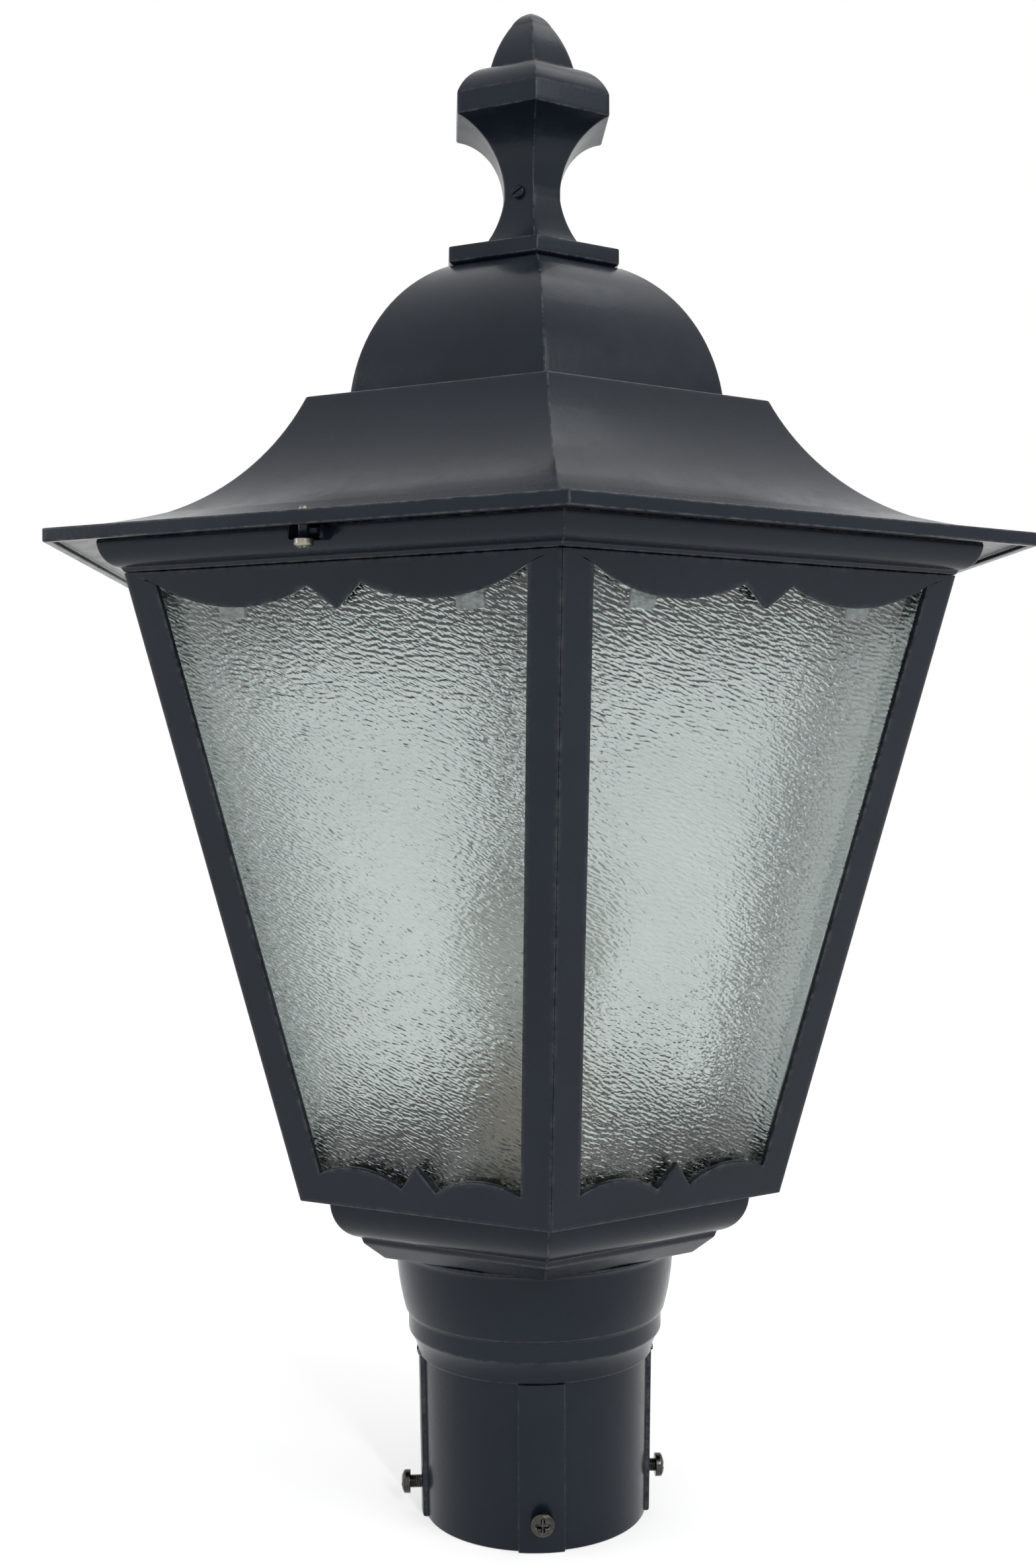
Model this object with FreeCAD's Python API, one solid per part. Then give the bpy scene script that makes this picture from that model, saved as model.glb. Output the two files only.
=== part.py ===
"""Six-sided post top lantern: pole fitter, tray, six glazed side frames and a lift-off roof.

Millimetres. +Z is up, the origin is the centre of the fitter's lower end, and one corner of
the hexagon faces -Y. Radii of six-sided pieces are measured to their corners. Outlines are
written as steps: (x, z) draws a line, and (xm, zm, x, z) an arc through its middle.
"""
import FreeCAD, Part
import math
import os
from FreeCAD import Vector

# Shared clearances
seam = 0.2              # between castings that are bolted together
loose_gap = 0.3         # beside pieces that lift away or are laid in
thread_gap = 0.05       # radial, a screw in the hole that it turns in
hole_gap = 0.3          # radial, a screw in a hole that it passes through

# Post socket and neck
post_radius = 38.0      # the post that the socket goes over
post_clearance = 1.0
tube_wall = 4.0
tube_length = 63.0
tube_flare = 1.0        # how much the outside widens up to the top of the tube
rib_width = 17.0
rib_height = 1.6
neck_wall = 3.8
cove_foot = 1.6         # step out from the tube to the foot of the cove
cove_height = 9.0
band_radius = 49.3
band_height = 7.0
band_step = 1.2
bell_radius = 54.0
bell_height = 22.3
flange_radius = 58.0
flange_fillet = 4.0
flange_edge = 0.8
flange_plate = 7.5
cable_hole_radius = 16.0

# Tray, corner radii
tray_inset = 12.0       # of the rim, inside the side frames' feet
tray_round_width = 12.5
tray_round_height = 16.5
tray_lip_inset = 1.0
tray_lip_height = 2.5
tray_foot_radius = 61.0
tray_bevel_height = 7.0
tray_floor = 4.5
tray_rim = 7.8          # flat width of the rim under the side frames
tray_wall = 3.7

# Side frames, corner radii at the foot and the head
frame_foot_radius = 101.0
frame_head_radius = 165.8
frame_height = 223.3
frame_plate = 4.0
frame_flange = 3.0
stile_width = 11.8
stile_rib = 3.0
head_flange_width = 17.0
top_trim_corner = 4.2   # depths below the head, heights above the foot
top_trim_trough = 13.6
top_trim_cusp = 7.5
top_trim_tooth = 15.5
foot_trim_corner = 11.9
foot_trim_crest = 15.4
foot_trim_cusp = 9.5
foot_trim_spike = 18.6

# Glass
glass_thickness = 3.0
glass_gap = 0.3
glass_side_gap = 0.6
clip_thickness = 1.0
clip_width = 10.0
clip_reach = 13.0
clip_tail = 4.5         # from the screw's axis to the end of the clip
clip_setback = 0.5      # of a head clip's end, inside the edge of the flange

# Cornice, corner radii
cornice_overhang = 9.7  # beyond the head of the side frames
cornice_foot_step = 1.2
cornice_foot_height = 1.6
cornice_height = 10.6
cornice_wall = 4.0
cornice_flange = 4.0
lug_radius = 6.0
lug_thickness = 4.5
gasket_thickness = 1.8
gasket_width = 3.3

# Roof, corner radii
eave_overhang = 18.5    # beyond the cornice
eave_edge = 4.6
eave_rise = 0.6         # top of the eave's edge above the seat on the cornice
flare_width = 44.0      # from the eave's edge to the foot of the steeper skirt
flare_rise = 8.4
skirt_top_radius = 97.0
skirt_height = 53.7     # from the eave's top edge to the ledge
roof_wall = 3.0
spigot_width = 3.6
pad_setback = 0.5       # of the roof's pad, inside the cornice's edge
seat_relief = 1.0       # room around the cornice, inside the roof
dome_radius = 79.5
dome_height = 55.0
dome_top_radius = 38.0
dome_spigot_radius = 73.3
dome_flange = 3.0
dome_spigot_depth = 2.5
bridge_width = 20.0
bridge_thickness = 3.0

# Finial, corner radii
plate_radius = 37.3
plate_height = 7.4
plate_bevel = 1.6
stem_foot_radius = 24.0
stem_waist_radius = 12.5
stem_flare_height = 21.5
stem_waist_height = 4.5
cup_radius = 33.4
cup_flare_height = 24.8
cup_band_height = 8.2
shoulder_height = 11.7
bud_radius = 18.5
bud_height = 24.3
bud_tip = 1.0

# Lamp and wiring
bracket_width = 20.0
bracket_thickness = 2.0
bracket_height = 18.0
bracket_half_span = 38.0
bracket_foot = 16.0
holder_radius = 19.5
holder_ring_radius = 20.8
holder_height = 45.0
holder_floor = 14.0
holder_step = 1.0       # slope under the grip ring
holder_edge = 2.0       # bevel of the holder's mouth
contact_rise = 3.0
contact_width = 6.0
contact_thickness = 0.6
nipple_radius = 5.0
nipple_length = 9.0
nipple_nut_across = 14.0
nipple_nut_height = 3.0
cap_radius = 13.1       # the screw cap of the lamp
cap_length = 25.0
sleeve_wall = 0.8
sleeve_gap = 0.3
bulb_radius = 30.0
bulb_height = 75.0
grommet_radius = 10.0
grommet_lip = 3.0
grommet_bore = 5.0
block_length = 30.0
block_width = 16.0
block_height = 13.0
block_poles = 3
block_base = 3.0        # thickness under the head of the terminal block's screw

# Fasteners
set_screw_radius = 2.5
set_screw_length = 8.0
set_screw_head = 4.4
set_screw_head_height = 3.5
roof_screw_radius = 1.75
roof_screw_length = 10.2
roof_screw_head = 3.2
roof_screw_head_height = 3.0
small_screw_radius = 2.0
small_screw_head = 3.6
small_screw_head_height = 2.4
foot_screw_grip = 6.5   # how far a foot screw goes into the tray's rim
floor_screw_cover = 0.5 # left of the tray's floor under the end of a screw
earth_washer_radius = 5.4
earth_washer_thickness = 1.0
bolt_radius = 3.0
bolt_across = 10.0
bolt_head_height = 4.0
bolt_nut_height = 4.8
bolt_tail = 6.0         # bolt below the fitter's top plate
bolt_circle = 44.0
rod_radius = 4.0
rod_nut_across = 13.0
rod_nut_height = 6.5
rod_tail = 3.0          # rod that stands out below its nut
washer_radius = 8.4
washer_thickness = 1.6
grub_radius = 1.5
grub_head = 2.55

# Each set screw: direction, height, and how far its head stands off its rib
set_screws = {
    "front": (270, 12.5, 2.4),
    "right": (0, 14.5, 2.4),
    "back": (90, 12.5, 4.2),
    "left": (180, 10.5, 4.2),
}
front_left_degrees = 240    # direction of the first of the six faces
step_degrees = 60
roof_screw_faces = (0, 2, 4)

# Worked out from the sizes above
flat = math.cos(math.radians(30))       # flat radius of a hexagon over its corner radius
half_edge = math.tan(math.radians(30))  # half an edge over the flat radius
tray_radius = frame_foot_radius - tray_inset
tray_round_radius = tray_radius - tray_round_width
cornice_radius = frame_head_radius + cornice_overhang
lug_flat = cornice_radius * flat + lug_radius   # distance of the roof screws from the axis
eave_radius = cornice_radius + eave_overhang
flare_radius = eave_radius - flare_width
socket_radius = post_radius + post_clearance
tube_radius = socket_radius + tube_wall
tube_top_radius = tube_radius + tube_flare
neck_height = cove_height + band_height + band_step + bell_height + flange_fillet + flange_edge
neck_top = tube_length + neck_height
tray_bottom = neck_top + seam
tray_height = tray_bevel_height + tray_lip_height + tray_round_height
tray_top = tray_bottom + tray_height
floor_top = tray_bottom + tray_floor
frame_bottom = tray_top + seam
frame_top = frame_bottom + frame_height
cornice_bottom = frame_top + seam
cornice_top = cornice_bottom + cornice_height
roof_seat = cornice_top + gasket_thickness + seam
eave_top = roof_seat + eave_rise
eave_bottom = eave_top - eave_edge
ledge_top = eave_top + skirt_height
dome_bottom = ledge_top + seam
dome_top = dome_bottom + dome_height
plate_bottom = dome_top + seam
stem_bottom = plate_bottom + plate_height
waist_bottom = stem_bottom + stem_flare_height
waist_top = waist_bottom + stem_waist_height
cup_bottom = waist_top + cup_flare_height
cup_top = cup_bottom + cup_band_height
bud_bottom = cup_top + shoulder_height + seam
lean = math.atan((frame_head_radius - frame_foot_radius) * flat / frame_height)
frame_slope = frame_height / math.cos(lean)
holder_bottom = floor_top + bracket_height + bracket_thickness + seam
holder_top = holder_bottom + holder_height
pad_outer_radius = cornice_radius - pad_setback
reach = 4 * eave_radius                 # longer than anything that it cuts
over = 1.0                              # how far a cut runs past the face that it opens


def path_edges(steps):
    """Edges along the steps, in the XZ plane."""
    edges = []
    here = Vector(steps[0][-2], 0, steps[0][-1])
    for step in steps[1:]:
        there = Vector(step[-2], 0, step[-1])
        if len(step) == 4:
            edges.append(Part.Arc(here, Vector(step[0], 0, step[1]), there).toShape())
        else:
            edges.append(Part.makeLine(here, there))
        here = there
    return edges


def closed_face(steps):
    """Face inside the closed outline that the steps draw in the XZ plane."""
    return Part.Face(Part.Wire(path_edges(list(steps) + [steps[0][-2:]])))


def turned(*steps):
    """Solid of revolution about Z."""
    return closed_face(steps).revolve(Vector(0, 0, 0), Vector(0, 0, 1), 360)


def to_flat(steps):
    """The same steps with corner radii changed to flat radii."""
    return [tuple(value * (1, flat)[index % 2 == 0] for index, value in enumerate(step))
            for step in steps]


def six_sided(*steps):
    """Six-sided solid: its corner radius follows the steps, from the axis out and back to it.

    It is what three crossed bars share, each with the outline as its cross-section.
    """
    right = path_edges(to_flat(steps))
    left = [edge.mirror(Vector(0, 0, 0), Vector(1, 0, 0)) for edge in right]
    face = Part.Face(Part.Wire(Part.__sortEdges__(right + left)))
    face.translate(Vector(0, -reach / 2, 0))
    bar = face.extrude(Vector(0, reach, 0))
    return bar.common(turn(bar, step_degrees)).common(turn(bar, 2 * step_degrees)).Solids[0]


def hexagon(radius, bottom, top):
    """Straight six-sided prism."""
    return six_sided((0, bottom), (radius, bottom), (radius, top), (0, top))


def disc(radius, bottom, top):
    """Upright round bar on the axis."""
    return Part.makeCylinder(radius, top - bottom, Vector(0, 0, bottom))


def box(x, y, z):
    """Box between two corners, each axis given as (low, high)."""
    return Part.makeBox(x[1] - x[0], y[1] - y[0], z[1] - z[0], Vector(x[0], y[0], z[0]))


def turn(shape, angle):
    """Copy of a shape, turned about the lantern's axis."""
    copy = shape.copy()
    copy.rotate(Vector(0, 0, 0), Vector(0, 0, 1), angle)
    return copy


def aim(shape, point, direction):
    """Move a piece made along +Z so that it starts at the point and runs along the direction."""
    copy = shape.copy()
    copy.Placement = FreeCAD.Placement(point, FreeCAD.Rotation(Vector(0, 0, 1), direction))
    return copy


def around(radius, angle, z):
    """Point at a radius, direction and height."""
    return Vector(radius * math.cos(math.radians(angle)), radius * math.sin(math.radians(angle)), z)


def outward(angle):
    """Level direction away from the axis."""
    return around(1, angle, 0)


def pan_screw(radius, length, head_radius, head_height, slot=True):
    """Screw along -Z under a rounded, slotted head that stands on z = 0."""
    edge = 0.3 * head_height
    screw = turned((0, -length), (radius - edge / 2, -length), (radius, edge / 2 - length), (radius, 0),
                   (head_radius, 0), (head_radius, head_height - 2 * edge),
                   (head_radius - edge / 3, head_height - edge / 2, head_radius - edge, head_height),
                   (0, head_height))
    if slot:
        half_slot = 0.14 * head_radius
        screw = screw.cut(box((-head_radius, head_radius), (-half_slot, half_slot),
                              (0.55 * head_height, 2 * head_height)))
    return screw


def hex_bar(width, bottom, top):
    """Hexagonal bar of a width across flats."""
    return hexagon(width / 2 / flat, bottom, top)


def hex_bolt(radius, length, width, head_height):
    """Hexagon-headed bolt along -Z, its head on z = 0."""
    return hex_bar(width, 0, head_height).fuse(disc(radius, -length, 0))


def hex_nut(radius, width, height):
    """Nut that stands on z = 0."""
    return hex_bar(width, 0, height).cut(disc(radius + thread_gap, -height, 2 * height))


def wedge(inset):
    """Sixth of the space round the axis, centred on +X, its two sides moved in by the inset."""
    apex = Vector(2 * inset, 0, -reach)
    spread = Vector(reach * flat, reach / 2, 0)
    other = Vector(reach * flat, -reach / 2, 0)
    outline = Part.makePolygon([apex, apex + spread, apex + other, apex])
    return Part.Face(outline).extrude(Vector(0, 0, 2 * reach))


def face_point(across, up, depth=0.0):
    """Point on the leaning outer plane of the +X face, measured from the middle of its foot."""
    x = frame_foot_radius * flat + up * math.sin(lean) - depth * math.cos(lean)
    z = frame_bottom + up * math.cos(lean) + depth * math.sin(lean)
    return Vector(x, across, z)


def inward():
    """Direction square to the leaning face, towards the axis."""
    return Vector(-math.cos(lean), 0, math.sin(lean))


def half_width(up):
    """Half the width of a side frame's outer plane, at a distance up its slope."""
    return half_edge * (frame_foot_radius * flat + up * math.sin(lean))


def slope_flat(z, depth):
    """Distance from the axis to the plane at a depth behind the frame's face, at a height."""
    return frame_foot_radius * flat + (z - frame_bottom) * math.tan(lean) - depth / math.cos(lean)


def frustum(depth, bottom, top):
    """Everything that lies at least a depth behind the six leaning faces."""
    return six_sided((0, bottom), (slope_flat(bottom, depth) / flat, bottom),
                     (slope_flat(top, depth) / flat, top), (0, top))


# Clip and screw places that several pieces share
glass_back = frame_plate + glass_gap + glass_thickness
foot_screw_flat = tray_radius * flat - 0.64 * tray_rim
head_flange_inner = slope_flat(frame_top, frame_plate) - head_flange_width
head_screw_flat = head_flange_inner + clip_tail + clip_setback
foot_screw_across = 0.5 * half_width(0)
head_screw_across = 0.55 * half_width(frame_slope)
head_screw_length = clip_thickness + frame_flange + seam + cornice_flange


def neck_outside():
    """Steps up the outside of the neck, from the tube to the flange."""
    cove_top = tube_length + cove_height
    band_top = cove_top + band_height
    bell_bottom = band_top + band_step
    bell_top = bell_bottom + bell_height
    cove_radius = tube_top_radius + cove_foot
    bell_foot = band_radius + band_step
    fillet = flange_fillet * math.sqrt(0.5)
    return [(cove_radius, tube_length),
            (0.65 * cove_radius + 0.35 * band_radius, tube_length + 0.55 * cove_height,
             band_radius, cove_top),
            (band_radius, band_top),
            (bell_foot, bell_bottom),
            (0.32 * bell_foot + 0.68 * bell_radius, bell_bottom + bell_height / 2,
             bell_radius, bell_top),
            (flange_radius - fillet, bell_top + fillet, flange_radius, bell_top + flange_fillet)]


def socket_hollow():
    """Inside of the pole fitter: a straight socket, then the hollow neck."""
    cove_top = tube_length + cove_height
    ceiling = neck_top - flange_plate
    return turned((0, -1), (socket_radius, -1), (socket_radius, tube_length),
                  (band_radius - neck_wall, cove_top),
                  (band_radius - neck_wall, cove_top + band_height),
                  (bell_radius - neck_wall, ceiling - flange_plate), (bell_radius - neck_wall, ceiling),
                  (0, ceiling))


def screw_ribs():
    """Four pads down the tube that the set screws are tapped into."""
    ribs = turned((0, 0), (tube_radius + rib_height, 0), (tube_top_radius + rib_height, tube_length),
                  (0, tube_length))
    bars = box((-reach, reach), (-rib_width / 2, rib_width / 2), (0, tube_length))
    return ribs.common(bars.fuse(turn(bars, 90)))


def make_pole_fitter():
    """Cast socket that goes over the post, with a stepped bell neck and a top plate."""
    flange_top = [(flange_radius, neck_top), (0, neck_top)]
    body = turned((0, 0), (tube_radius, 0), (tube_top_radius, tube_length), *neck_outside(), *flange_top)
    body = body.fuse(screw_ribs()).cut(socket_hollow())
    body = body.cut(disc(cable_hole_radius, 0, 2 * neck_top))
    for angle, height, _ in set_screws.values():
        hole = Part.makeCylinder(set_screw_radius + thread_gap, reach)
        body = body.cut(aim(hole, Vector(0, 0, height), outward(angle)))
    return body.cut(tray_bolt_holes())


def tray_bolt_places():
    """Directions of the four bolts between the tray and the fitter."""
    return [45 + 90 * index for index in range(4)]


def tray_bolt_holes():
    """Four clearance holes through the tray's floor and the fitter's top plate."""
    return Part.makeCompound([
        Part.makeCylinder(bolt_radius + hole_gap, reach, around(bolt_circle, angle, tube_length))
        for angle in tray_bolt_places()])


def floor_screw_places():
    """Points on the tray's floor where small screws hold the bracket, the block and the earth."""
    bracket_x = bracket_half_span + bracket_foot / 2
    return [Vector(bracket_x, 0, floor_top), Vector(-bracket_x, 0, floor_top),
            Vector(0, bolt_circle, floor_top), Vector(0, -bolt_circle, floor_top)]


def foot_screw_places():
    """Places of the screws that hold each side frame to the tray, on the +X face."""
    return [Vector(foot_screw_flat, side * foot_screw_across, frame_bottom) for side in (-1, 1)]


def make_base_tray():
    """Hexagonal cast tray with a quarter-round side, a lip and a bevelled underside."""
    lip_bottom = tray_bottom + tray_bevel_height
    lip_top = lip_bottom + tray_lip_height
    bulge = tray_radius - tray_round_radius
    body = six_sided(
        (0, tray_bottom), (tray_foot_radius, tray_bottom),
        (tray_round_radius - tray_lip_inset, lip_bottom), (tray_round_radius, lip_top),
        (tray_round_radius + bulge * math.sqrt(0.5), tray_top - tray_round_height * math.sqrt(0.5),
         tray_radius, tray_top),
        (0, tray_top))
    rim_radius = tray_radius - tray_rim / flat
    bevel = tray_round_radius - tray_lip_inset - tray_foot_radius
    outside = tray_foot_radius + bevel * min(1, tray_floor / tray_bevel_height)
    body = body.cut(six_sided((0, floor_top), (outside - tray_wall / flat, floor_top),
                              (rim_radius, tray_top), (rim_radius, tray_top + over), (0, tray_top + over)))
    body = body.cut(disc(grommet_radius + loose_gap, tray_bottom - over, tray_top))
    body = body.cut(tray_bolt_holes())
    for point in floor_screw_places():
        body = body.cut(Part.makeCylinder(small_screw_radius + thread_gap, tray_floor, point,
                                          Vector(0, 0, -1)))
    foot_hole = Part.makeCylinder(small_screw_radius + thread_gap, foot_screw_grip + over)
    for angle in face_angles():
        for point in foot_screw_places():
            hole = aim(foot_hole, point - Vector(0, 0, foot_screw_grip + seam + over), Vector(0, 0, 1))
            body = body.cut(turn(hole, angle))
    return body


def face_angles():
    """Directions of the six faces, from the front left one round."""
    return [front_left_degrees + step_degrees * index for index in range(6)]


def window():
    """Opening of a side frame, with its scalloped head and foot, through the +X face."""
    foot_half = half_width(foot_trim_corner) - stile_width
    head_half = half_width(frame_slope - top_trim_corner) - stile_width
    head = frame_slope
    right = [("line", (0, foot_trim_spike), (0.17 * foot_half, foot_trim_cusp)),
             ("arc", (0.6 * foot_half, foot_trim_crest), (foot_half, foot_trim_corner)),
             ("line", None, (head_half, head - top_trim_corner)),
             ("arc", (0.48 * head_half, head - top_trim_trough), (0.14 * head_half, head - top_trim_cusp)),
             ("line", None, (0, head - top_trim_tooth))]
    edges = []
    here = right[0][1]
    for kind, middle, there in right:
        ends = (face_point(*here, -1), face_point(*there, -1))
        if kind == "arc":
            edges.append(Part.Arc(ends[0], face_point(*middle, -1), ends[1]).toShape())
        else:
            edges.append(Part.makeLine(*ends))
        here = there
    mirrored = [edge.mirror(Vector(0, 0, 0), Vector(0, 1, 0)) for edge in edges]
    face = Part.Face(Part.Wire(Part.__sortEdges__(edges + mirrored)))
    return face.extrude(inward() * (frame_plate + over + glass_gap))


def make_side_frame():
    """One cast side frame: a leaning plate with flanges at its foot and head, for the +X face."""
    under_head = frame_top - frame_flange
    over_foot = frame_bottom + frame_flange
    body = frustum(0, frame_bottom, frame_top).common(wedge(seam / 2))
    pocket = frustum(frame_plate, over_foot, under_head).common(wedge(seam / 2 + stile_rib))
    behind_ribs = frustum(glass_back + glass_gap, over_foot, under_head)
    body = body.cut(pocket).cut(behind_ribs)
    foot_opening = tray_radius - tray_rim / flat
    body = body.cut(hexagon(foot_opening, frame_bottom - over, over_foot + over))
    body = body.cut(hexagon(head_flange_inner / flat, under_head - over, frame_top + over))
    body = body.cut(window())
    hole = Part.makeCylinder(small_screw_radius + hole_gap, 3 * frame_flange)
    for point in foot_screw_places() + head_screw_places():
        body = body.cut(aim(hole, point - Vector(0, 0, 1.5 * frame_flange), Vector(0, 0, 1)))
    return body.Solids[0]


def head_screw_places():
    """Places of the screws that hold each side frame to the cornice, on the +X face."""
    return [Vector(head_screw_flat, side * head_screw_across, frame_top) for side in (-1, 1)]


def make_glass_pane():
    """Trapezoid pane that lies behind the +X side frame, between its ribs and flanges."""
    margin = glass_back * math.cos(lean) * half_edge + (stile_rib + seam / 2) / flat + glass_side_gap
    front = frame_plate + glass_gap
    low = (frame_flange + glass_gap - front * math.sin(lean)) / math.cos(lean)
    high = (frame_height - frame_flange - glass_gap - glass_back * math.sin(lean)) / math.cos(lean)
    corners = [face_point(side * (half_width(up) - margin), up, front)
               for side, up in ((-1, low), (1, low), (1, high), (-1, high))]
    pane = Part.Face(Part.makePolygon(corners + corners[:1]))
    return pane.extrude(inward() * glass_thickness)


def clip_at(screw_flat, seat, up):
    """Bent spring clip from a screw to the back of the glass, pointing up (1) or down (-1)."""
    skin = clip_thickness * up
    tip = seat + clip_reach * up

    def glass_flat(z):
        return slope_flat(z, glass_back) - seam

    thick = clip_thickness / math.cos(lean)
    tail = screw_flat - clip_tail
    strip = closed_face([(tail, seat), (glass_flat(seat), seat), (glass_flat(tip), tip),
                         (glass_flat(tip) - thick, tip), (glass_flat(seat + skin) - thick, seat + skin),
                         (tail, seat + skin)])
    strip.translate(Vector(0, -clip_width / 2, 0))
    strip = strip.extrude(Vector(0, clip_width, 0))
    hole = Part.makeCylinder(small_screw_radius + hole_gap, 3 * clip_thickness,
                             Vector(screw_flat, 0, min(seat, seat + skin) - clip_thickness))
    return strip.cut(hole)


def make_pane_clips():
    """Four spring clips behind each pane, held by the flange screws."""
    foot = clip_at(foot_screw_flat, frame_bottom + frame_flange, 1)
    head = clip_at(head_screw_flat, frame_top - frame_flange, -1)
    clips = []
    for angle in face_angles():
        for side in (-1, 1):
            for clip, across in ((foot, foot_screw_across), (head, head_screw_across)):
                placed = clip.copy()
                placed.translate(Vector(0, side * across, 0))
                clips.append(turn(placed, angle))
    return Part.makeCompound(clips)


def make_foot_screws():
    """Two screws down through each frame's foot flange into the tray's rim."""
    length = clip_thickness + frame_flange + seam + foot_screw_grip
    screw = pan_screw(small_screw_radius, length, small_screw_head, small_screw_head_height)
    lift = Vector(0, 0, frame_flange + clip_thickness)
    return Part.makeCompound([turn(aim(screw, point + lift, Vector(0, 0, 1)), angle)
                              for angle in face_angles() for point in foot_screw_places()])


def make_head_screws():
    """Two screws up through each frame's head flange into the cornice."""
    screw = pan_screw(small_screw_radius, head_screw_length, small_screw_head, small_screw_head_height)
    drop = Vector(0, 0, frame_flange + clip_thickness)
    return Part.makeCompound([turn(aim(screw, point - drop, Vector(0, 0, -1)), angle)
                              for angle in face_angles() for point in head_screw_places()])


def roof_screw_angles():
    """Directions of the three roof screws, on every other face."""
    return [face_angles()[index] for index in roof_screw_faces]


def lug_top():
    """Height of the top of the cornice's lugs, just under the eave."""
    return eave_top - roof_wall - loose_gap


def make_cornice_ring():
    """Six-sided ring under the eave: quarter-round outside, flange inside, three screw lugs."""
    foot = frame_head_radius + cornice_foot_step
    round_bottom = cornice_bottom + cornice_foot_height
    round_height = cornice_height - cornice_foot_height
    slant = math.sqrt(0.5)
    body = six_sided((0, cornice_bottom), (frame_head_radius, cornice_bottom), (foot, round_bottom),
                     (foot + (cornice_radius - foot) * slant, cornice_top - round_height * slant,
                      cornice_radius, cornice_top),
                     (0, cornice_top))
    floor = cornice_bottom + cornice_flange
    inner_radius = cornice_radius - cornice_wall / flat
    body = body.cut(six_sided((0, floor), (frame_head_radius - cornice_wall / flat, floor),
                              (inner_radius, floor + cornice_flange), (inner_radius, cornice_top + over),
                              (0, cornice_top + over)))
    body = body.cut(hexagon(head_flange_inner / flat, cornice_bottom - over, floor + over))
    lug_bottom = lug_top() - lug_thickness
    root = inner_radius * flat + cornice_wall / 2
    lug = box((root, lug_flat), (-lug_radius, lug_radius), (lug_bottom, lug_top()))
    lug = lug.fuse(Part.makeCylinder(lug_radius, lug_thickness, Vector(lug_flat, 0, lug_bottom)))
    lug = lug.cut(Part.makeCylinder(roof_screw_radius + thread_gap, reach, Vector(lug_flat, 0, 0)))
    for angle in roof_screw_angles():
        body = body.fuse(turn(lug, angle))
    hole = Part.makeCylinder(small_screw_radius + thread_gap, cornice_flange + over)
    for angle in face_angles():
        for point in head_screw_places():
            body = body.cut(turn(aim(hole, point, Vector(0, 0, 1)), angle))
    return body


def make_roof_gasket():
    """Flat rubber ring between the cornice and the roof."""
    outer = cornice_radius - loose_gap
    ring = hexagon(outer, cornice_top, cornice_top + gasket_thickness)
    return ring.cut(hexagon(outer - gasket_width / flat, cornice_top - over, roof_seat + over))


def skirt_steps(radius_shift, drop):
    """Outside of the roof from the eave's top edge to the ledge, moved in and down."""
    steps = [(eave_radius, eave_top),
             (0.5 * (eave_radius + flare_radius), eave_top + 0.37 * flare_rise,
              flare_radius, eave_top + flare_rise),
             (flare_radius - 0.55 * (flare_radius - skirt_top_radius),
              eave_top + flare_rise + 0.372 * (skirt_height - flare_rise),
              skirt_top_radius, ledge_top)]
    return [tuple(value - (radius_shift, drop)[index % 2] for index, value in enumerate(step))
            for step in steps]


def make_roof_skirt():
    """Cast roof shell: flat-edged eave, flared skirt and level ledge, open below."""
    wall_radius = roof_wall / flat
    outer = six_sided((0, eave_bottom), (eave_radius, eave_bottom), *skirt_steps(0, 0), (0, ledge_top))
    hollow = six_sided((0, eave_bottom - over), (eave_radius - wall_radius, eave_bottom - over),
                       *skirt_steps(wall_radius, roof_wall), (0, ledge_top - roof_wall))
    body = outer.cut(hollow).cut(hexagon(cornice_radius + seat_relief, eave_bottom - over, roof_seat))
    pad_top = roof_seat + 0.8 * roof_wall
    seat = hexagon(pad_outer_radius, roof_seat, pad_top)
    spigot_radius = cornice_radius - (cornice_wall + loose_gap) / flat
    spigot_bottom = cornice_bottom + 2 * cornice_flange + 2 * loose_gap
    spigot = hexagon(spigot_radius, spigot_bottom, pad_top)
    rim = seat.fuse(spigot).cut(hexagon(spigot_radius - spigot_width / flat, 0, pad_top + over))
    body = body.fuse(rim)
    dome_room = dome_spigot_radius + loose_gap / flat
    body = body.cut(hexagon(dome_room, ledge_top - 2 * roof_wall, ledge_top + over))
    for angle in roof_screw_angles():
        hole = Part.makeCylinder(roof_screw_radius + thread_gap, 2 * reach, around(lug_flat, angle, 0))
        body = body.cut(hole)
    return body


def dome_steps(radius_shift, drop):
    """Outside of the dome from its foot to its flat top, moved in and down."""
    steps = [(dome_radius, dome_bottom),
             (0.37 * dome_top_radius + 0.63 * dome_radius, dome_bottom + 0.655 * dome_height,
              dome_top_radius, dome_top)]
    return [tuple(value - (radius_shift, drop)[index % 2] for index, value in enumerate(step))
            for step in steps]


def make_roof_dome():
    """Six-sided cast dome, spigoted into the ledge of the roof."""
    floor = dome_bottom + dome_flange
    body = six_sided((0, dome_bottom), *dome_steps(0, 0), (0, dome_top))
    hollow = six_sided((0, dome_bottom - roof_wall), *dome_steps(roof_wall / flat, roof_wall),
                       (0, dome_top - roof_wall))
    hollow = hollow.common(disc(reach, floor, dome_top))
    body = body.cut(hollow).fuse(hexagon(dome_spigot_radius, dome_bottom - dome_spigot_depth, floor))
    opening_radius = dome_spigot_radius - roof_wall / flat
    body = body.cut(hexagon(opening_radius, dome_bottom - 2 * dome_spigot_depth, floor + over))
    return body.cut(disc(rod_radius + hole_gap, dome_bottom, dome_top + over))


def bridge_top():
    """Height of the upper face of the bridge bar, against the underside of the ledge."""
    return ledge_top - roof_wall - seam


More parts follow.
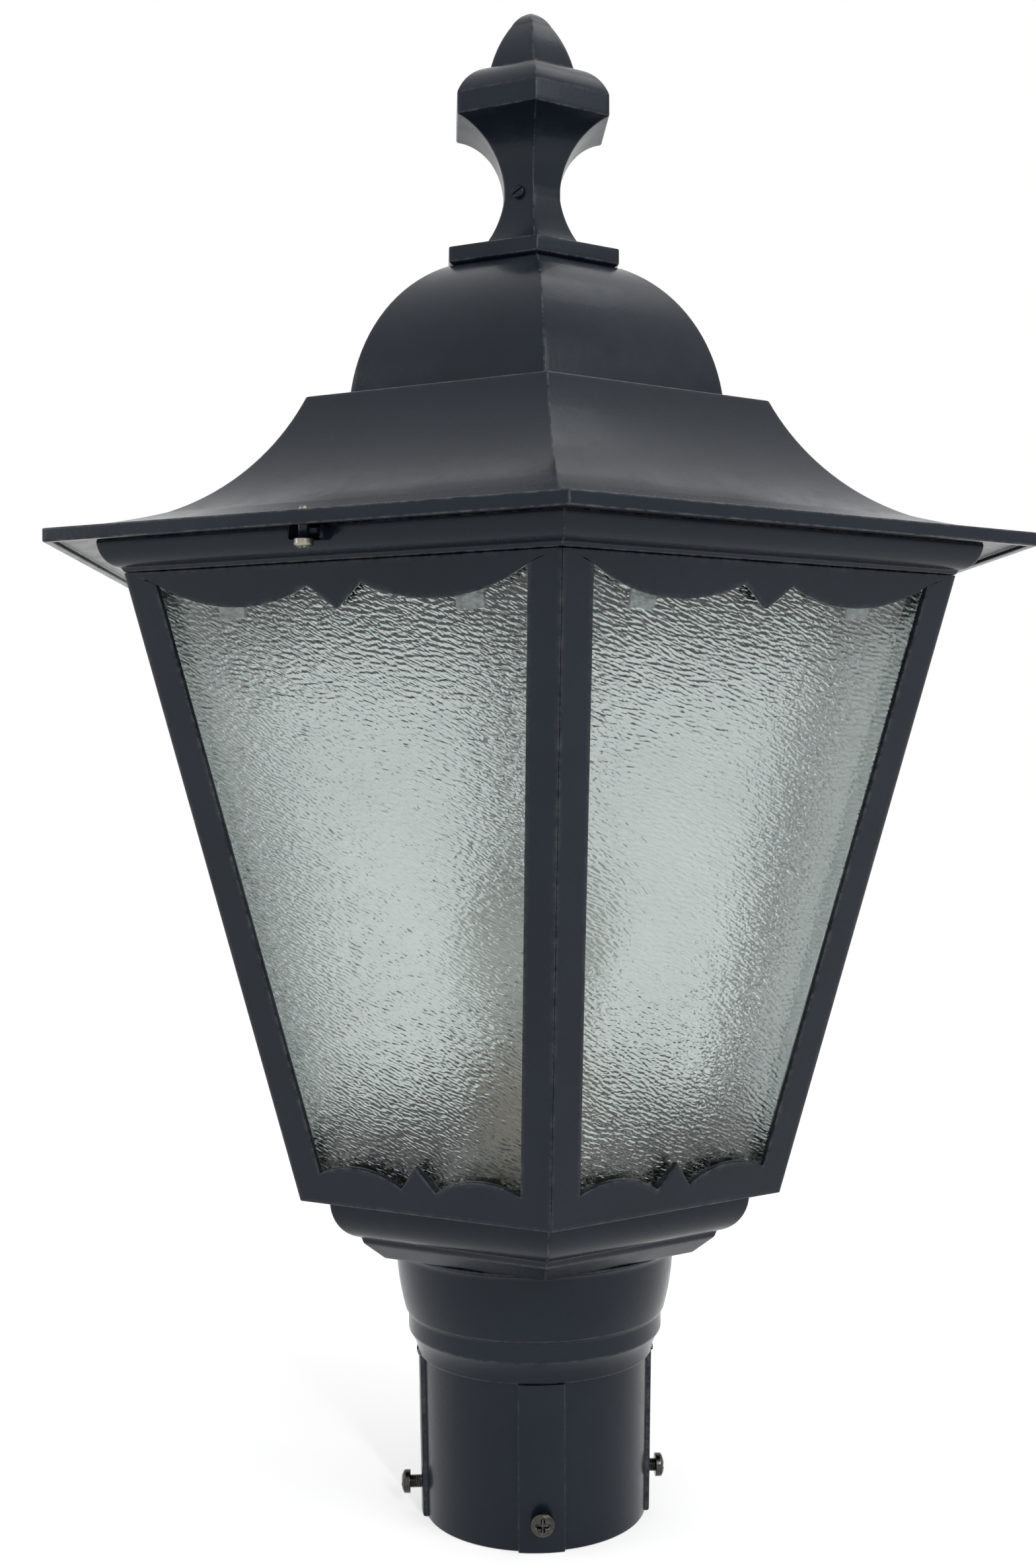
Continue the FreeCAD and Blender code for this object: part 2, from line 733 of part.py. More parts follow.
def make_roof_bridge():
    """Bar across the underside of the ledge that the finial's rod pulls on."""
    half_length = (dome_spigot_radius + skirt_top_radius) / 2 * flat - roof_wall
    bar = box((-half_length, half_length), (-bridge_width / 2, bridge_width / 2),
              (bridge_top() - bridge_thickness, bridge_top()))
    return bar.cut(disc(rod_radius + hole_gap, 0, bridge_top() + over))


def make_finial_stem():
    """Six-sided finial casting: plate, waisted stem and banded cup."""
    body = six_sided(
        (0, plate_bottom), (plate_radius - 2 * plate_bevel, plate_bottom),
        (plate_radius, plate_bottom + plate_bevel), (plate_radius, stem_bottom),
        (stem_foot_radius, stem_bottom),
        (0.6 * stem_waist_radius + 0.4 * stem_foot_radius, stem_bottom + 0.42 * stem_flare_height,
         stem_waist_radius, waist_bottom),
        (stem_waist_radius, waist_top),
        (0.775 * stem_waist_radius + 0.225 * cup_radius, waist_top + 0.53 * cup_flare_height,
         cup_radius, cup_bottom),
        (cup_radius, cup_top),
        (0.25 * bud_radius + 0.75 * cup_radius, cup_top + 0.49 * shoulder_height,
         bud_radius, cup_top + shoulder_height),
        (0, cup_top + shoulder_height))
    body = body.cut(disc(rod_radius + hole_gap, plate_bottom - over, bud_bottom + over))
    hole = Part.makeCylinder(grub_radius + thread_gap, reach)
    return body.cut(aim(hole, Vector(0, 0, grub_height()), outward(front_left_degrees)))


def grub_height():
    """Height of the finial's side screw, at the waist."""
    return (waist_bottom + waist_top) / 2


def make_finial_set_screw():
    """Small screw through the waist that keeps the finial from turning on its rod."""
    length = stem_waist_radius * flat - rod_radius - loose_gap
    screw = pan_screw(grub_radius, length, grub_head, grub_radius)
    point = around(stem_waist_radius * flat, front_left_degrees, grub_height())
    return aim(screw, point, outward(front_left_degrees))


def make_finial_bud():
    """Pointed six-sided bud that screws down on the rod."""
    knee_radius = 0.49 * bud_radius
    knee = bud_bottom + 0.73 * bud_height
    tip = bud_bottom + bud_height
    body = six_sided((0, bud_bottom), (bud_radius, bud_bottom),
                     (0.8 * bud_radius, bud_bottom + 0.375 * bud_height, knee_radius, knee),
                     (0.6 * knee_radius, knee + 0.62 * (tip - knee), bud_tip, tip), (0, tip))
    return body.cut(disc(rod_radius + thread_gap, bud_bottom - over, rod_top() + loose_gap))


def rod_top():
    """Upper end of the finial's rod, inside the bud."""
    return bud_bottom + 0.4 * bud_height


def nut_seat():
    """Height of the underside of the bridge's washer."""
    return bridge_top() - bridge_thickness - washer_thickness


def make_finial_rod():
    """Threaded rod from the bridge up through the dome and the finial."""
    return disc(rod_radius, nut_seat() - rod_nut_height - rod_tail, rod_top())


def make_rod_nut():
    """Nut on the lower end of the rod."""
    nut = hex_nut(rod_radius, rod_nut_across, rod_nut_height)
    nut.translate(Vector(0, 0, nut_seat() - rod_nut_height))
    return nut


def make_rod_washer():
    """Washer between the bridge and the nut."""
    ring = disc(washer_radius, nut_seat(), nut_seat() + washer_thickness)
    return ring.cut(disc(rod_radius + hole_gap, 0, reach))


def make_tray_bolts():
    """Four bolts down through the tray's floor and the fitter's top plate."""
    length = tray_floor + seam + flange_plate + bolt_tail
    bolt = hex_bolt(bolt_radius, length, bolt_across, bolt_head_height)
    return Part.makeCompound([aim(bolt, around(bolt_circle, angle, floor_top), Vector(0, 0, 1))
                              for angle in tray_bolt_places()])


def make_tray_nuts():
    """Nuts on the tray's bolts, under the fitter's top plate."""
    nut = hex_nut(bolt_radius, bolt_across, bolt_nut_height)
    seat = neck_top - flange_plate - bolt_nut_height
    return Part.makeCompound([aim(nut, around(bolt_circle, angle, seat), Vector(0, 0, 1))
                              for angle in tray_bolt_places()])


def make_set_screw(angle, height, stand_off):
    """Set screw in its rib, its head held off the rib by the stand-off."""
    screw = pan_screw(set_screw_radius, set_screw_length, set_screw_head, set_screw_head_height)
    rib_face = tube_radius + rib_height + tube_flare * height / tube_length
    return aim(screw, around(rib_face + stand_off, angle, height), outward(angle))


def make_roof_screw(angle):
    """Screw up through a lug of the cornice and the eave."""
    screw = pan_screw(roof_screw_radius, roof_screw_length, roof_screw_head, roof_screw_head_height)
    return aim(screw, around(lug_flat, angle, lug_top() - lug_thickness), Vector(0, 0, -1))


def make_lamp_bracket():
    """Hat-shaped strip on the tray's floor that carries the lampholder."""
    half = bracket_half_span
    thick = bracket_thickness
    top = floor_top + bracket_height + thick
    end = half + bracket_foot
    right = [(0, top - thick), (half - thick, top - thick), (half - thick, floor_top), (end, floor_top),
             (end, floor_top + thick), (half, floor_top + thick), (half, top), (0, top)]
    side = closed_face(right).extrude(Vector(0, bracket_width, 0))
    side.translate(Vector(0, -bracket_width / 2, 0))
    strip = side.fuse(side.mirror(Vector(0, 0, 0), Vector(1, 0, 0))).removeSplitter()
    strip = strip.cut(disc(nipple_radius + hole_gap, floor_top, top + over))
    for point in floor_screw_places()[:2]:
        strip = strip.cut(Part.makeCylinder(small_screw_radius + hole_gap, 2 * thick,
                                            point - Vector(0, 0, thick / 2)))
    return strip


def make_floor_screws():
    """Small screws that hold the bracket's two feet and the terminal block."""
    seats = (bracket_thickness, bracket_thickness, block_base)
    screws = []
    for point, seat in zip(floor_screw_places(), seats):
        length = seat + tray_floor - floor_screw_cover
        screw = pan_screw(small_screw_radius, length, small_screw_head, small_screw_head_height)
        screws.append(aim(screw, point + Vector(0, 0, seat), Vector(0, 0, 1)))
    return Part.makeCompound(screws)


def make_terminal_block():
    """Three-pole block on the tray's floor, with a well over each clamp and a fixing hole."""
    centre = floor_screw_places()[2]
    low = floor_top
    body = box((-block_length / 2, block_length / 2),
               (centre.y - block_width / 2, centre.y + block_width / 2), (low, low + block_height))
    pitch = block_length / block_poles
    for index in range(block_poles):
        x = (index - (block_poles - 1) / 2) * pitch
        for side in (-1, 1):
            y = centre.y + side * 0.3 * block_width
            well = Vector(x, y, low + block_height / 2)
            body = body.cut(Part.makeCylinder(0.18 * pitch, block_height, well))
    body = body.cut(Part.makeCylinder(small_screw_head + hole_gap, block_height,
                                      centre + Vector(0, 0, block_base)))
    return body.cut(Part.makeCylinder(small_screw_radius + hole_gap, block_height, centre))


def make_earth_screw():
    """Brass earth screw with its washer, on the tray's floor."""
    length = earth_washer_thickness + tray_floor - floor_screw_cover
    screw = pan_screw(small_screw_radius, length, small_screw_head, small_screw_head_height)
    point = floor_screw_places()[3]
    ring = Part.makeCylinder(earth_washer_radius, earth_washer_thickness, point)
    seat = point + Vector(0, 0, earth_washer_thickness)
    return aim(screw, seat, Vector(0, 0, 1)).fuse(ring)


def make_cable_grommet():
    """Rubber grommet in the tray's floor, for the supply cable."""
    lip = grommet_radius + grommet_lip
    thick = 0.5 * grommet_lip
    low = tray_bottom - seam
    top = floor_top + seam
    return turned((grommet_bore, low - thick), (lip, low - thick), (lip, low), (grommet_radius, low),
                  (grommet_radius, top), (lip, top), (lip, top + thick), (grommet_bore, top + thick))


def make_lampholder_body():
    """Moulded holder with a nipple through the bracket and a well for the lamp."""
    z = holder_bottom
    ring_bottom = holder_top - 0.3 * holder_height
    well = cap_radius + sleeve_gap + sleeve_wall + seam
    wire_hole = 0.5 * nipple_radius
    return turned((wire_hole, z - nipple_length), (nipple_radius, z - nipple_length), (nipple_radius, z),
                  (0.75 * holder_radius, z), (0.93 * holder_radius, z + 0.08 * holder_height,
                                              holder_radius, z + 0.25 * holder_height),
                  (holder_radius, ring_bottom), (holder_ring_radius, ring_bottom + holder_step),
                  (holder_ring_radius, holder_top - holder_edge),
                  (holder_ring_radius - holder_edge, holder_top),
                  (well, holder_top), (well, z + holder_floor), (wire_hole, z + holder_floor))


def make_lampholder_nut():
    """Thin nut that holds the lampholder's nipple under the bracket."""
    nut = hex_nut(nipple_radius, nipple_nut_across, nipple_nut_height)
    nut.translate(Vector(0, 0, holder_bottom - seam - bracket_thickness - nipple_nut_height))
    return nut


def make_lampholder_sleeve():
    """Brass sleeve that the lamp's cap screws into."""
    inner = cap_radius + sleeve_gap
    outer = inner + sleeve_wall
    low = holder_bottom + holder_floor + seam
    ring = disc(outer, low, holder_top - holder_edge)
    return ring.cut(disc(inner, low - over, holder_top))


def contact_height():
    """Height of the top of the spring contact, where the lamp's tip rests."""
    return holder_bottom + holder_floor + contact_rise


def make_lampholder_contact():
    """Springy brass tongue in the bottom of the holder."""
    low = holder_bottom + holder_floor
    end = 0.77 * cap_radius
    thick = contact_thickness
    strip = closed_face([(-end, low), (-end / 2, low), (end / 3, contact_height() - thick),
                         (end, contact_height() - thick), (end, contact_height()),
                         (end / 3, contact_height()), (-end / 2, low + thick), (-end, low + thick)])
    strip.translate(Vector(0, -contact_width / 2, 0))
    return strip.extrude(Vector(0, contact_width, 0))


def cap_top():
    """Height where the lamp's cap meets its bulb, just above the holder."""
    return contact_height() + loose_gap + cap_length + contact_rise


def make_lamp_cap():
    """Metal screw cap of the lamp, with its insulator and tip."""
    low = contact_height() + loose_gap
    return turned((0, low), (0.33 * cap_radius, low), (0.4 * cap_radius, low + 0.04 * cap_length),
                  (0.75 * cap_radius, low + 0.12 * cap_length), (cap_radius, low + 0.2 * cap_length),
                  (cap_radius, cap_top()), (0, cap_top()))


def make_lamp_bulb():
    """Pear-shaped bulb above the cap."""
    low = cap_top() + seam / 2
    centre = low + bulb_height - bulb_radius
    waist = low + 0.25 * bulb_height
    slant = bulb_radius * math.sqrt(0.5)
    return turned((0, low), (1.08 * cap_radius, low),
                  (0.56 * bulb_radius, low + 0.14 * bulb_height, 0.66 * bulb_radius, waist),
                  (0.9 * bulb_radius, waist + 0.45 * (centre - waist), bulb_radius, centre),
                  (slant, centre + slant, 0, centre + bulb_radius))


def write(node, shape):
    """Write one node's solids to its STEP file."""
    shape.exportStep("parts/" + node + ".step")
    solids = shape.Solids
    print("%-22s solids %2d volume %10.1f valid %s" % (node, len(solids), shape.Volume, shape.isValid()))


def main():
    """Make every node of the lantern."""
    os.makedirs("parts", exist_ok=True)
    side_frame = make_side_frame()
    glass_pane = make_glass_pane()
    for number, angle in enumerate(face_angles(), 1):
        write("side_frame_%d" % number, turn(side_frame, angle))
        write("glass_pane_%d" % number, turn(glass_pane, angle))
    for name, (angle, height, stand_off) in set_screws.items():
        write("set_screw_" + name, make_set_screw(angle, height, stand_off))
    for number, angle in enumerate(roof_screw_angles(), 1):
        write("roof_screw_%d" % number, make_roof_screw(angle))
    write("pole_fitter", make_pole_fitter())
    write("base_tray", make_base_tray())
    write("tray_bolts", make_tray_bolts())
    write("tray_nuts", make_tray_nuts())
    write("pane_clips", make_pane_clips())
    write("foot_screws", make_foot_screws())
    write("head_screws", make_head_screws())
    write("cornice_ring", make_cornice_ring())
    write("roof_gasket", make_roof_gasket())
    write("lamp_bracket", make_lamp_bracket())
    write("floor_screws", make_floor_screws())
    write("earth_screw", make_earth_screw())
    write("terminal_block", make_terminal_block())
    write("cable_grommet", make_cable_grommet())
    write("lampholder_body", make_lampholder_body())
    write("lampholder_nut", make_lampholder_nut())
    write("lampholder_sleeve", make_lampholder_sleeve())
    write("lampholder_contact", make_lampholder_contact())
    write("lamp_cap", make_lamp_cap())
    write("lamp_bulb", make_lamp_bulb())
    write("roof_skirt", make_roof_skirt())
    write("roof_dome", make_roof_dome())
    write("roof_bridge", make_roof_bridge())
    write("finial_stem", make_finial_stem())
    write("finial_bud", make_finial_bud())
    write("finial_rod", make_finial_rod())
    write("rod_nut", make_rod_nut())
    write("rod_washer", make_rod_washer())
    write("finial_set_screw", make_finial_set_screw())


main()
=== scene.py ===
"""Post top lantern: looks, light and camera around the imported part.

Outlines are in millimetres, as corner radius and height, and become metres when a mesh is made.
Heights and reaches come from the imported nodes; one corner of every hexagon faces -Y.
"""
import bpy
import math
import numpy as np
from mathutils import Matrix, Vector

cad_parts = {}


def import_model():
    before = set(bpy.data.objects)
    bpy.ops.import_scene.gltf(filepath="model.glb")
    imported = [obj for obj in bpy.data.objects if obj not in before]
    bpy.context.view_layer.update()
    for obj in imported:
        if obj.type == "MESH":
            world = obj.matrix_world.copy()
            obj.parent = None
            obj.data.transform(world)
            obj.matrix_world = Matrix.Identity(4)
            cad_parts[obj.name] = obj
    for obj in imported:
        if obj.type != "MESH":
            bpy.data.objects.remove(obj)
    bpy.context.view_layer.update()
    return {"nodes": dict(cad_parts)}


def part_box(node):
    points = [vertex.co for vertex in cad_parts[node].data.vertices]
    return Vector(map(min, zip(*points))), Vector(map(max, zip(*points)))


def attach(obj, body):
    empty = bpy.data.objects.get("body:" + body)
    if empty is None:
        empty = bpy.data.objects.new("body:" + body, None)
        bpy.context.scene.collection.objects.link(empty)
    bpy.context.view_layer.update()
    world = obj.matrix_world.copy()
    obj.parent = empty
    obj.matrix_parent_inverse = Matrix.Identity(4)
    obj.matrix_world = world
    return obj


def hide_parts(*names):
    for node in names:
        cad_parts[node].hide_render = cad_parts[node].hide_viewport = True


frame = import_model()

MM = 0.001
FLAT = math.cos(math.radians(30))        # flat radius of a hexagon over its corner radius
HALF_EDGE = math.tan(math.radians(30))   # half an edge over the flat radius
FACES = [240 + 60 * index for index in range(6)]

# Wall thicknesses and softened edges of the castings
SHELL = 3.0
EDGE = 0.7
RIDGE = 1.1
CORNER_STEPS = 5
SUPPORT = 1.5


def low(node):
    """Height of a node's lowest point, in millimetres."""
    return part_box(node)[0].z / MM


def top(node):
    """Height of a node's highest point, in millimetres."""
    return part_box(node)[1].z / MM


def corner(node):
    """Corner radius of a node's widest hexagon, or the radius of a round one."""
    return -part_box(node)[0].y / MM


# ---------------------------------------------------------------- outlines


def arc_between(start, middle, end, count=20):
    """Points on the circle through three points: centre + radius * (cos a, sin a) at even angles a."""
    a, b, c = complex(*start), complex(*middle), complex(*end)
    ratio = (c - a) / (b - a)
    centre = a - (a - b) * (ratio - abs(ratio) ** 2) / (2j * ratio.imag)
    first, second, last = np.angle(np.array([a, b, c]) - centre)
    sweep = (last - first) % (2 * math.pi)
    if (second - first) % (2 * math.pi) > sweep:
        sweep -= 2 * math.pi
    points = centre + abs(a - centre) * np.exp(1j * (first + sweep * np.linspace(0, 1, count)))
    return np.stack([points.real, points.imag], -1)


def outline(steps, edge=EDGE, closed=True):
    """Outline through steps, with every joint of two steps softened.

    A step (x, z) draws a line and (xm, zm, x, z) an arc through its middle. Near a joint P the
    line becomes the parabola (1-t)^2 A + 2t(1-t) P + t^2 C between the points A and C that lie
    one edge before and after it. The first point lies within a straight run. Returns the points
    and, for each, how far it stands out on a convex joint, 0 to 1.
    """
    pieces = [np.array([steps[0][-2:]], float)]
    for step in list(steps[1:]) + ([steps[0][-2:]] if closed else []):
        start = pieces[-1][-1]
        run = arc_between(start, step[:2], step[2:])[1:] if len(step) == 4 else np.array([step], float)
        pieces.append(run)
    line = np.concatenate(pieces)
    along = np.concatenate([[0], np.cumsum(np.linalg.norm(np.diff(line, axis=0), axis=1))])
    ends = along[np.cumsum([len(piece) for piece in pieces]) - 1]
    joints, spans = ends[1:-1], np.diff(ends)
    soft = np.minimum(edge, 0.45 * np.minimum(spans[:-1], spans[1:]))

    def at(places):
        return np.stack([np.interp(places, along, line[:, axis]) for axis in (0, 1)], -1)

    before, corner_point, after = at(joints - soft), at(joints), at(joints + soft)
    turn = np.cross(corner_point - before, after - corner_point)
    sizes = np.linalg.norm(corner_point - before, axis=1) * np.linalg.norm(after - corner_point, axis=1)
    area = np.sum(line[:-1, 0] * line[1:, 1] - line[1:, 0] * line[:-1, 1])
    convex = np.clip(turn / np.maximum(sizes, 1e-9) * np.sign(area), 0, 1)
    t = np.linspace(0, 1, 5)[None, :, None]
    bend = ((1 - t) ** 2 * before[:, None] + 2 * t * (1 - t) * corner_point[:, None]
            + t ** 2 * after[:, None])
    bend_keys = joints[:, None] + soft[:, None] * (2 * t[..., 0] - 1)
    bulge = convex[:, None] * (1 - (2 * t[..., 0] - 1) ** 2)
    props = np.concatenate([joints - soft - np.minimum(SUPPORT, spans[:-1] * 0.2),
                            joints + soft + np.minimum(SUPPORT, spans[1:] * 0.2)])
    plain = np.sort(np.concatenate([along if not closed else along[:-1], props]))
    reach = np.abs(plain[:, None] - joints[None, :]) - soft[None, :]
    plain = plain[(reach > 0.02).all(axis=1)]
    plain = plain[np.concatenate([[True], np.diff(plain) > 0.02])]
    keys = np.concatenate([plain, bend_keys.ravel()])
    points = np.concatenate([at(plain), bend.reshape(-1, 2)])
    standing = np.concatenate([np.zeros(len(plain)), bulge.ravel()])
    order = np.argsort(keys, kind="stable")
    return points[order], standing[order]


# ---------------------------------------------------------------- surfaces


def ray(angle):
    """Unit direction in plan at an angle in radians."""
    return np.stack([np.cos(angle), np.sin(angle)], -1)


def hexagonal(steps, edge=EDGE, ridge=RIDGE, closed=True):
    """Six-sided surface: P = hexagon(corner radius r(s), t) at height z(s).

    Each corner of the plan is an arc of the ridge radius about a centre that lies on the corner's
    ray, and the flats between them are straight. Returns the grid and its wear, which is edge wear
    on convex joints and ridges together with a painted highlight on them.
    """
    line, standing = outline(steps, edge, closed)
    radius = line[:, 0][:, None, None]
    soft = np.minimum(ridge, 0.5 * radius)
    facing = np.radians(-90 + 60 * np.arange(6))[None, :, None]
    swing = np.radians(np.linspace(-30, 30, CORNER_STEPS))[None, None, :]
    arcs = (radius - soft / FLAT)[..., None] * ray(facing) + soft[..., None] * ray(facing + swing)
    start, end = arcs[:, :, -1:], np.roll(arcs[:, :, :1], -1, axis=1)
    length = np.maximum(np.linalg.norm(end - start, axis=-1, keepdims=True), 1e-6)
    near = np.minimum(SUPPORT / length, 0.1)
    inner = np.linspace(0.2, 0.8, 4)[None, None, :, None] + 0 * near
    share = np.concatenate([near, inner, 1 - near], axis=2)
    flats = start + share * (end - start)
    plan = np.concatenate([arcs, flats], axis=2).reshape(len(line), -1, 2)
    height = np.broadcast_to(line[:, 1][:, None, None], plan.shape[:2] + (1,))
    bulge = 1 - np.linspace(-1, 1, CORNER_STEPS) ** 2
    ridges = np.tile(np.concatenate([bulge, np.zeros(share.shape[2])]), 6)
    # Convex joints and corner ridges are lighter: edge wear plus a painted highlight along them.
    wear_and_sheen = 1 - (1 - standing[:, None]) * (1 - 0.9 * ridges[None, :])
    return np.concatenate([plan, height], -1), wear_and_sheen


def turned(steps, edge=EDGE, closed=True, columns=96):
    """Surface of revolution: P = (r(s) cos a, r(s) sin a, z(s))."""
    line, standing = outline(steps, edge, closed)
    angle = np.linspace(0, 2 * math.pi, columns, endpoint=False)
    plan = line[:, 0][:, None, None] * ray(angle)[None]
    height = np.broadcast_to(line[:, 1][:, None, None], plan.shape[:2] + (1,))
    wear_and_sheen = np.broadcast_to(standing[:, None], plan.shape[:2])
    return np.concatenate([plan, height], -1), wear_and_sheen


def grid_faces(rows, columns, loop_rows, first):
    """Quads of a grid whose columns close on themselves, and its rows as well if loop_rows."""
    row, column = np.meshgrid(np.arange(rows - (not loop_rows)), np.arange(columns), indexing="ij")
    above, beside = (row + 1) % rows, (column + 1) % columns
    quads = [row * columns + column, row * columns + beside, above * columns + beside,
             above * columns + column]
    return first + np.stack(quads, -1).reshape(-1, 4)


def shell_of(points, loop_rows):
    """Vertices and faces of one closed surface; open rows end in a pole or a flat cap."""
    rows, columns = points.shape[:2]
    vertices = points.reshape(-1, 3)
    faces = [grid_faces(rows, columns, loop_rows, 0).tolist()]
    if not loop_rows:
        ring = np.arange(columns)
        for row, order in ((0, -1), (rows - 1, 1)):
            pole = len(vertices)
            vertices = np.concatenate([vertices, points[row].mean(axis=0)[None]])
            fan = np.stack([row * columns + ring, row * columns + np.roll(ring, -1),
                            np.full(columns, pole)], -1)
            faces.append(fan[:, ::order].tolist())
    return vertices, [face for group in faces for face in group]


def volume(vertices, faces):
    """Signed volume inside the faces: the sum of p0 . (p1 x p2) / 6 over their triangles."""
    quads = np.array([face for face in faces if len(face) == 4]).reshape(-1, 4)
    threes = np.array([face for face in faces if len(face) == 3]).reshape(-1, 3)
    threes = np.concatenate([threes, quads[:, [0, 1, 2]], quads[:, [0, 2, 3]]]).astype(int)
    p = vertices[threes]
    return np.einsum("ij,ij->i", p[:, 0], np.cross(p[:, 1], p[:, 2])).sum() / 6


def piece(name, surfaces, material, body, nodes=(), slot=None, smooth=True):
    """One object from closed surfaces in millimetres, each (points, wear) or (points, wear, loop), the wear
    being edge wear together with a painted highlight on the edges.
    """
    vertices, faces, worn_and_edge_sheen = [], [], []
    count = 0
    for points, wear_and_sheen, *loop in surfaces:
        made, polygons = shell_of(points, loop[0] if loop else True)
        if volume(made, polygons) < 0:
            polygons = [face[::-1] for face in polygons]
        faces += [[index + count for index in face] for face in polygons]
        spare = np.zeros(len(made) - wear_and_sheen.size)
        worn_and_edge_sheen.append(np.concatenate([np.asarray(wear_and_sheen, float).ravel(), spare]))
        vertices.append(made)
        count += len(made)
    return make_object(name, np.concatenate(vertices), faces, material, body, nodes, slot,
                       np.concatenate(worn_and_edge_sheen), smooth)


def make_object(name, vertices, faces, material, body, nodes, slot, worn_and_edge_sheen=None, smooth=True):
    """Mesh object in metres, riding on its body and standing for its nodes."""
    mesh = bpy.data.meshes.new(name)
    mesh.from_pydata((np.asarray(vertices) * MM).tolist(), [], faces)
    mesh.polygons.foreach_set("use_smooth", np.full(len(mesh.polygons), smooth))
    if worn_and_edge_sheen is not None:
        mesh.attributes.new("worn_and_edge_sheen", "FLOAT", "POINT").data.foreach_set("value", worn_and_edge_sheen.astype(np.float32))
    mesh.materials.append(material)
    made = bpy.data.objects.new(name, mesh)
    bpy.context.scene.collection.objects.link(made)
    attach(made, body)
    if nodes:
        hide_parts(*nodes)
    return made


def turn_about_axis(points, degrees):
    """Points turned about the lantern's axis."""
    c, s = math.cos(math.radians(degrees)), math.sin(math.radians(degrees))
    return points @ np.array([[c, s, 0], [-s, c, 0], [0, 0, 1]])


def aimed(points, place, direction):
    """Points made along +Z, moved so that they start at the place and run along the direction."""
    turn = np.array(Vector(direction).to_track_quat("Z", "Y").to_matrix())
    return points @ turn.T + np.array(place)


# ---------------------------------------------------------------- materials


def node(tree, kind, inputs=None, **settings):
    """New shader node; an input is a number, a colour or another node's output."""
    made = tree.nodes.new(kind)
    for key, value in settings.items():
        setattr(made, key, value)
    for key, value in (inputs or {}).items():
        if isinstance(value, bpy.types.NodeSocket):
            tree.links.new(value, made.inputs[key])
        else:
            made.inputs[key].default_value = value
    return made


def material_of(name, **sockets):
    """New material, its tree and its shader with plain values on the sockets."""
    made = bpy.data.materials.new(name)
    made.use_nodes = True
    shader = made.node_tree.nodes["Principled BSDF"]
    for key, value in sockets.items():
        shader.inputs[key.replace("_", " ")].default_value = value
    return made, made.node_tree, shader


def noise(tree, place, scale, detail=2.0, roughness=0.5, distortion=0.0):
    """Value of a noise texture at a place, its scale in features per metre."""
    inputs = {"Vector": place, "Scale": scale, "Detail": detail, "Roughness": roughness,
              "Distortion": distortion}
    return node(tree, "ShaderNodeTexNoise", inputs).outputs["Fac"]


def spread(tree, value, low_in, high_in, low_out, high_out):
    """Value mapped from one range to another, held at its ends."""
    return node(tree, "ShaderNodeMapRange", {"Value": value, "From Min": low_in, "From Max": high_in,
                                             "To Min": low_out, "To Max": high_out}).outputs["Result"]


def times(tree, first, second):
    """Product of two values."""
    return node(tree, "ShaderNodeMath", {0: first, 1: second}, operation="MULTIPLY").outputs[0]


def between(tree, share, first, second):
    """Colour between two colours."""
    mix = node(tree, "ShaderNodeMix", data_type="RGBA")
    for socket, value in (("Factor", share), ("A", first), ("B", second)):
        target = next(s for s in mix.inputs if s.name == socket and s.enabled)
        if isinstance(value, bpy.types.NodeSocket):
            tree.links.new(value, target)
        else:
            target.default_value = value
    return next(s for s in mix.outputs if s.enabled)


def bump(tree, height, distance, strength=1.0, under=None):
    """Normal of a relief of the given depth in metres, over another relief."""
    inputs = {"Height": height, "Distance": distance, "Strength": strength}
    if under is not None:
        inputs["Normal"] = under
    return node(tree, "ShaderNodeBump", inputs).outputs["Normal"]


def enamel():
    """Blue-black gloss enamel over cast metal: slow waves, orange peel, dust, and edges where the paint is
    thin and lighter, with a painted highlight there too.
    """
    made, tree, shader = material_of("black_enamel", Specular_IOR_Level=0.19, Coat_Weight=0.06,
                                     Coat_Roughness=0.06, Coat_IOR=1.5,
                                     Specular_Tint=(0.86, 0.96, 1.0, 1))
    place = node(tree, "ShaderNodeTexCoord").outputs["Object"]
    clouds = noise(tree, place, 26, 4, 0.6)
    peel = noise(tree, place, 620, 2, 0.5)
    grit = noise(tree, place, 2400, 3, 0.6)
    # Edges made lighter: rubbed thin paint, and also a painted highlight along them.
    worn_and_edge_sheen = node(tree, "ShaderNodeAttribute", attribute_name="worn_and_edge_sheen").outputs["Fac"]
    rubbed_and_sheen = times(tree, worn_and_edge_sheen, spread(tree, noise(tree, place, 240, 4, 0.7), 0.4, 0.72, 0.0, 1.0))
    paint = between(tree, spread(tree, clouds, 0.35, 0.65, 0, 1), (0.0076, 0.0112, 0.0185, 1),
                    (0.0104, 0.0148, 0.0238, 1))
    specks = spread(tree, grit, 0.70, 0.78, 0.0, 0.35)
    paint = between(tree, specks, paint, (0.05, 0.052, 0.05, 1))
    tree.links.new(between(tree, rubbed_and_sheen, paint, (0.10, 0.105, 0.11, 1)), shader.inputs["Base Color"])
    tree.links.new(spread(tree, noise(tree, place, 75, 5, 0.65), 0.3, 0.7, 0.18, 0.32),
                   shader.inputs["Roughness"])
    waves = bump(tree, noise(tree, place, 30, 2, 0.4), 0.0006, 0.35)
    skin = bump(tree, peel, 0.00006, 0.6, waves)
    tree.links.new(bump(tree, grit, 0.00003, 0.5, skin), shader.inputs["Normal"])
    return made


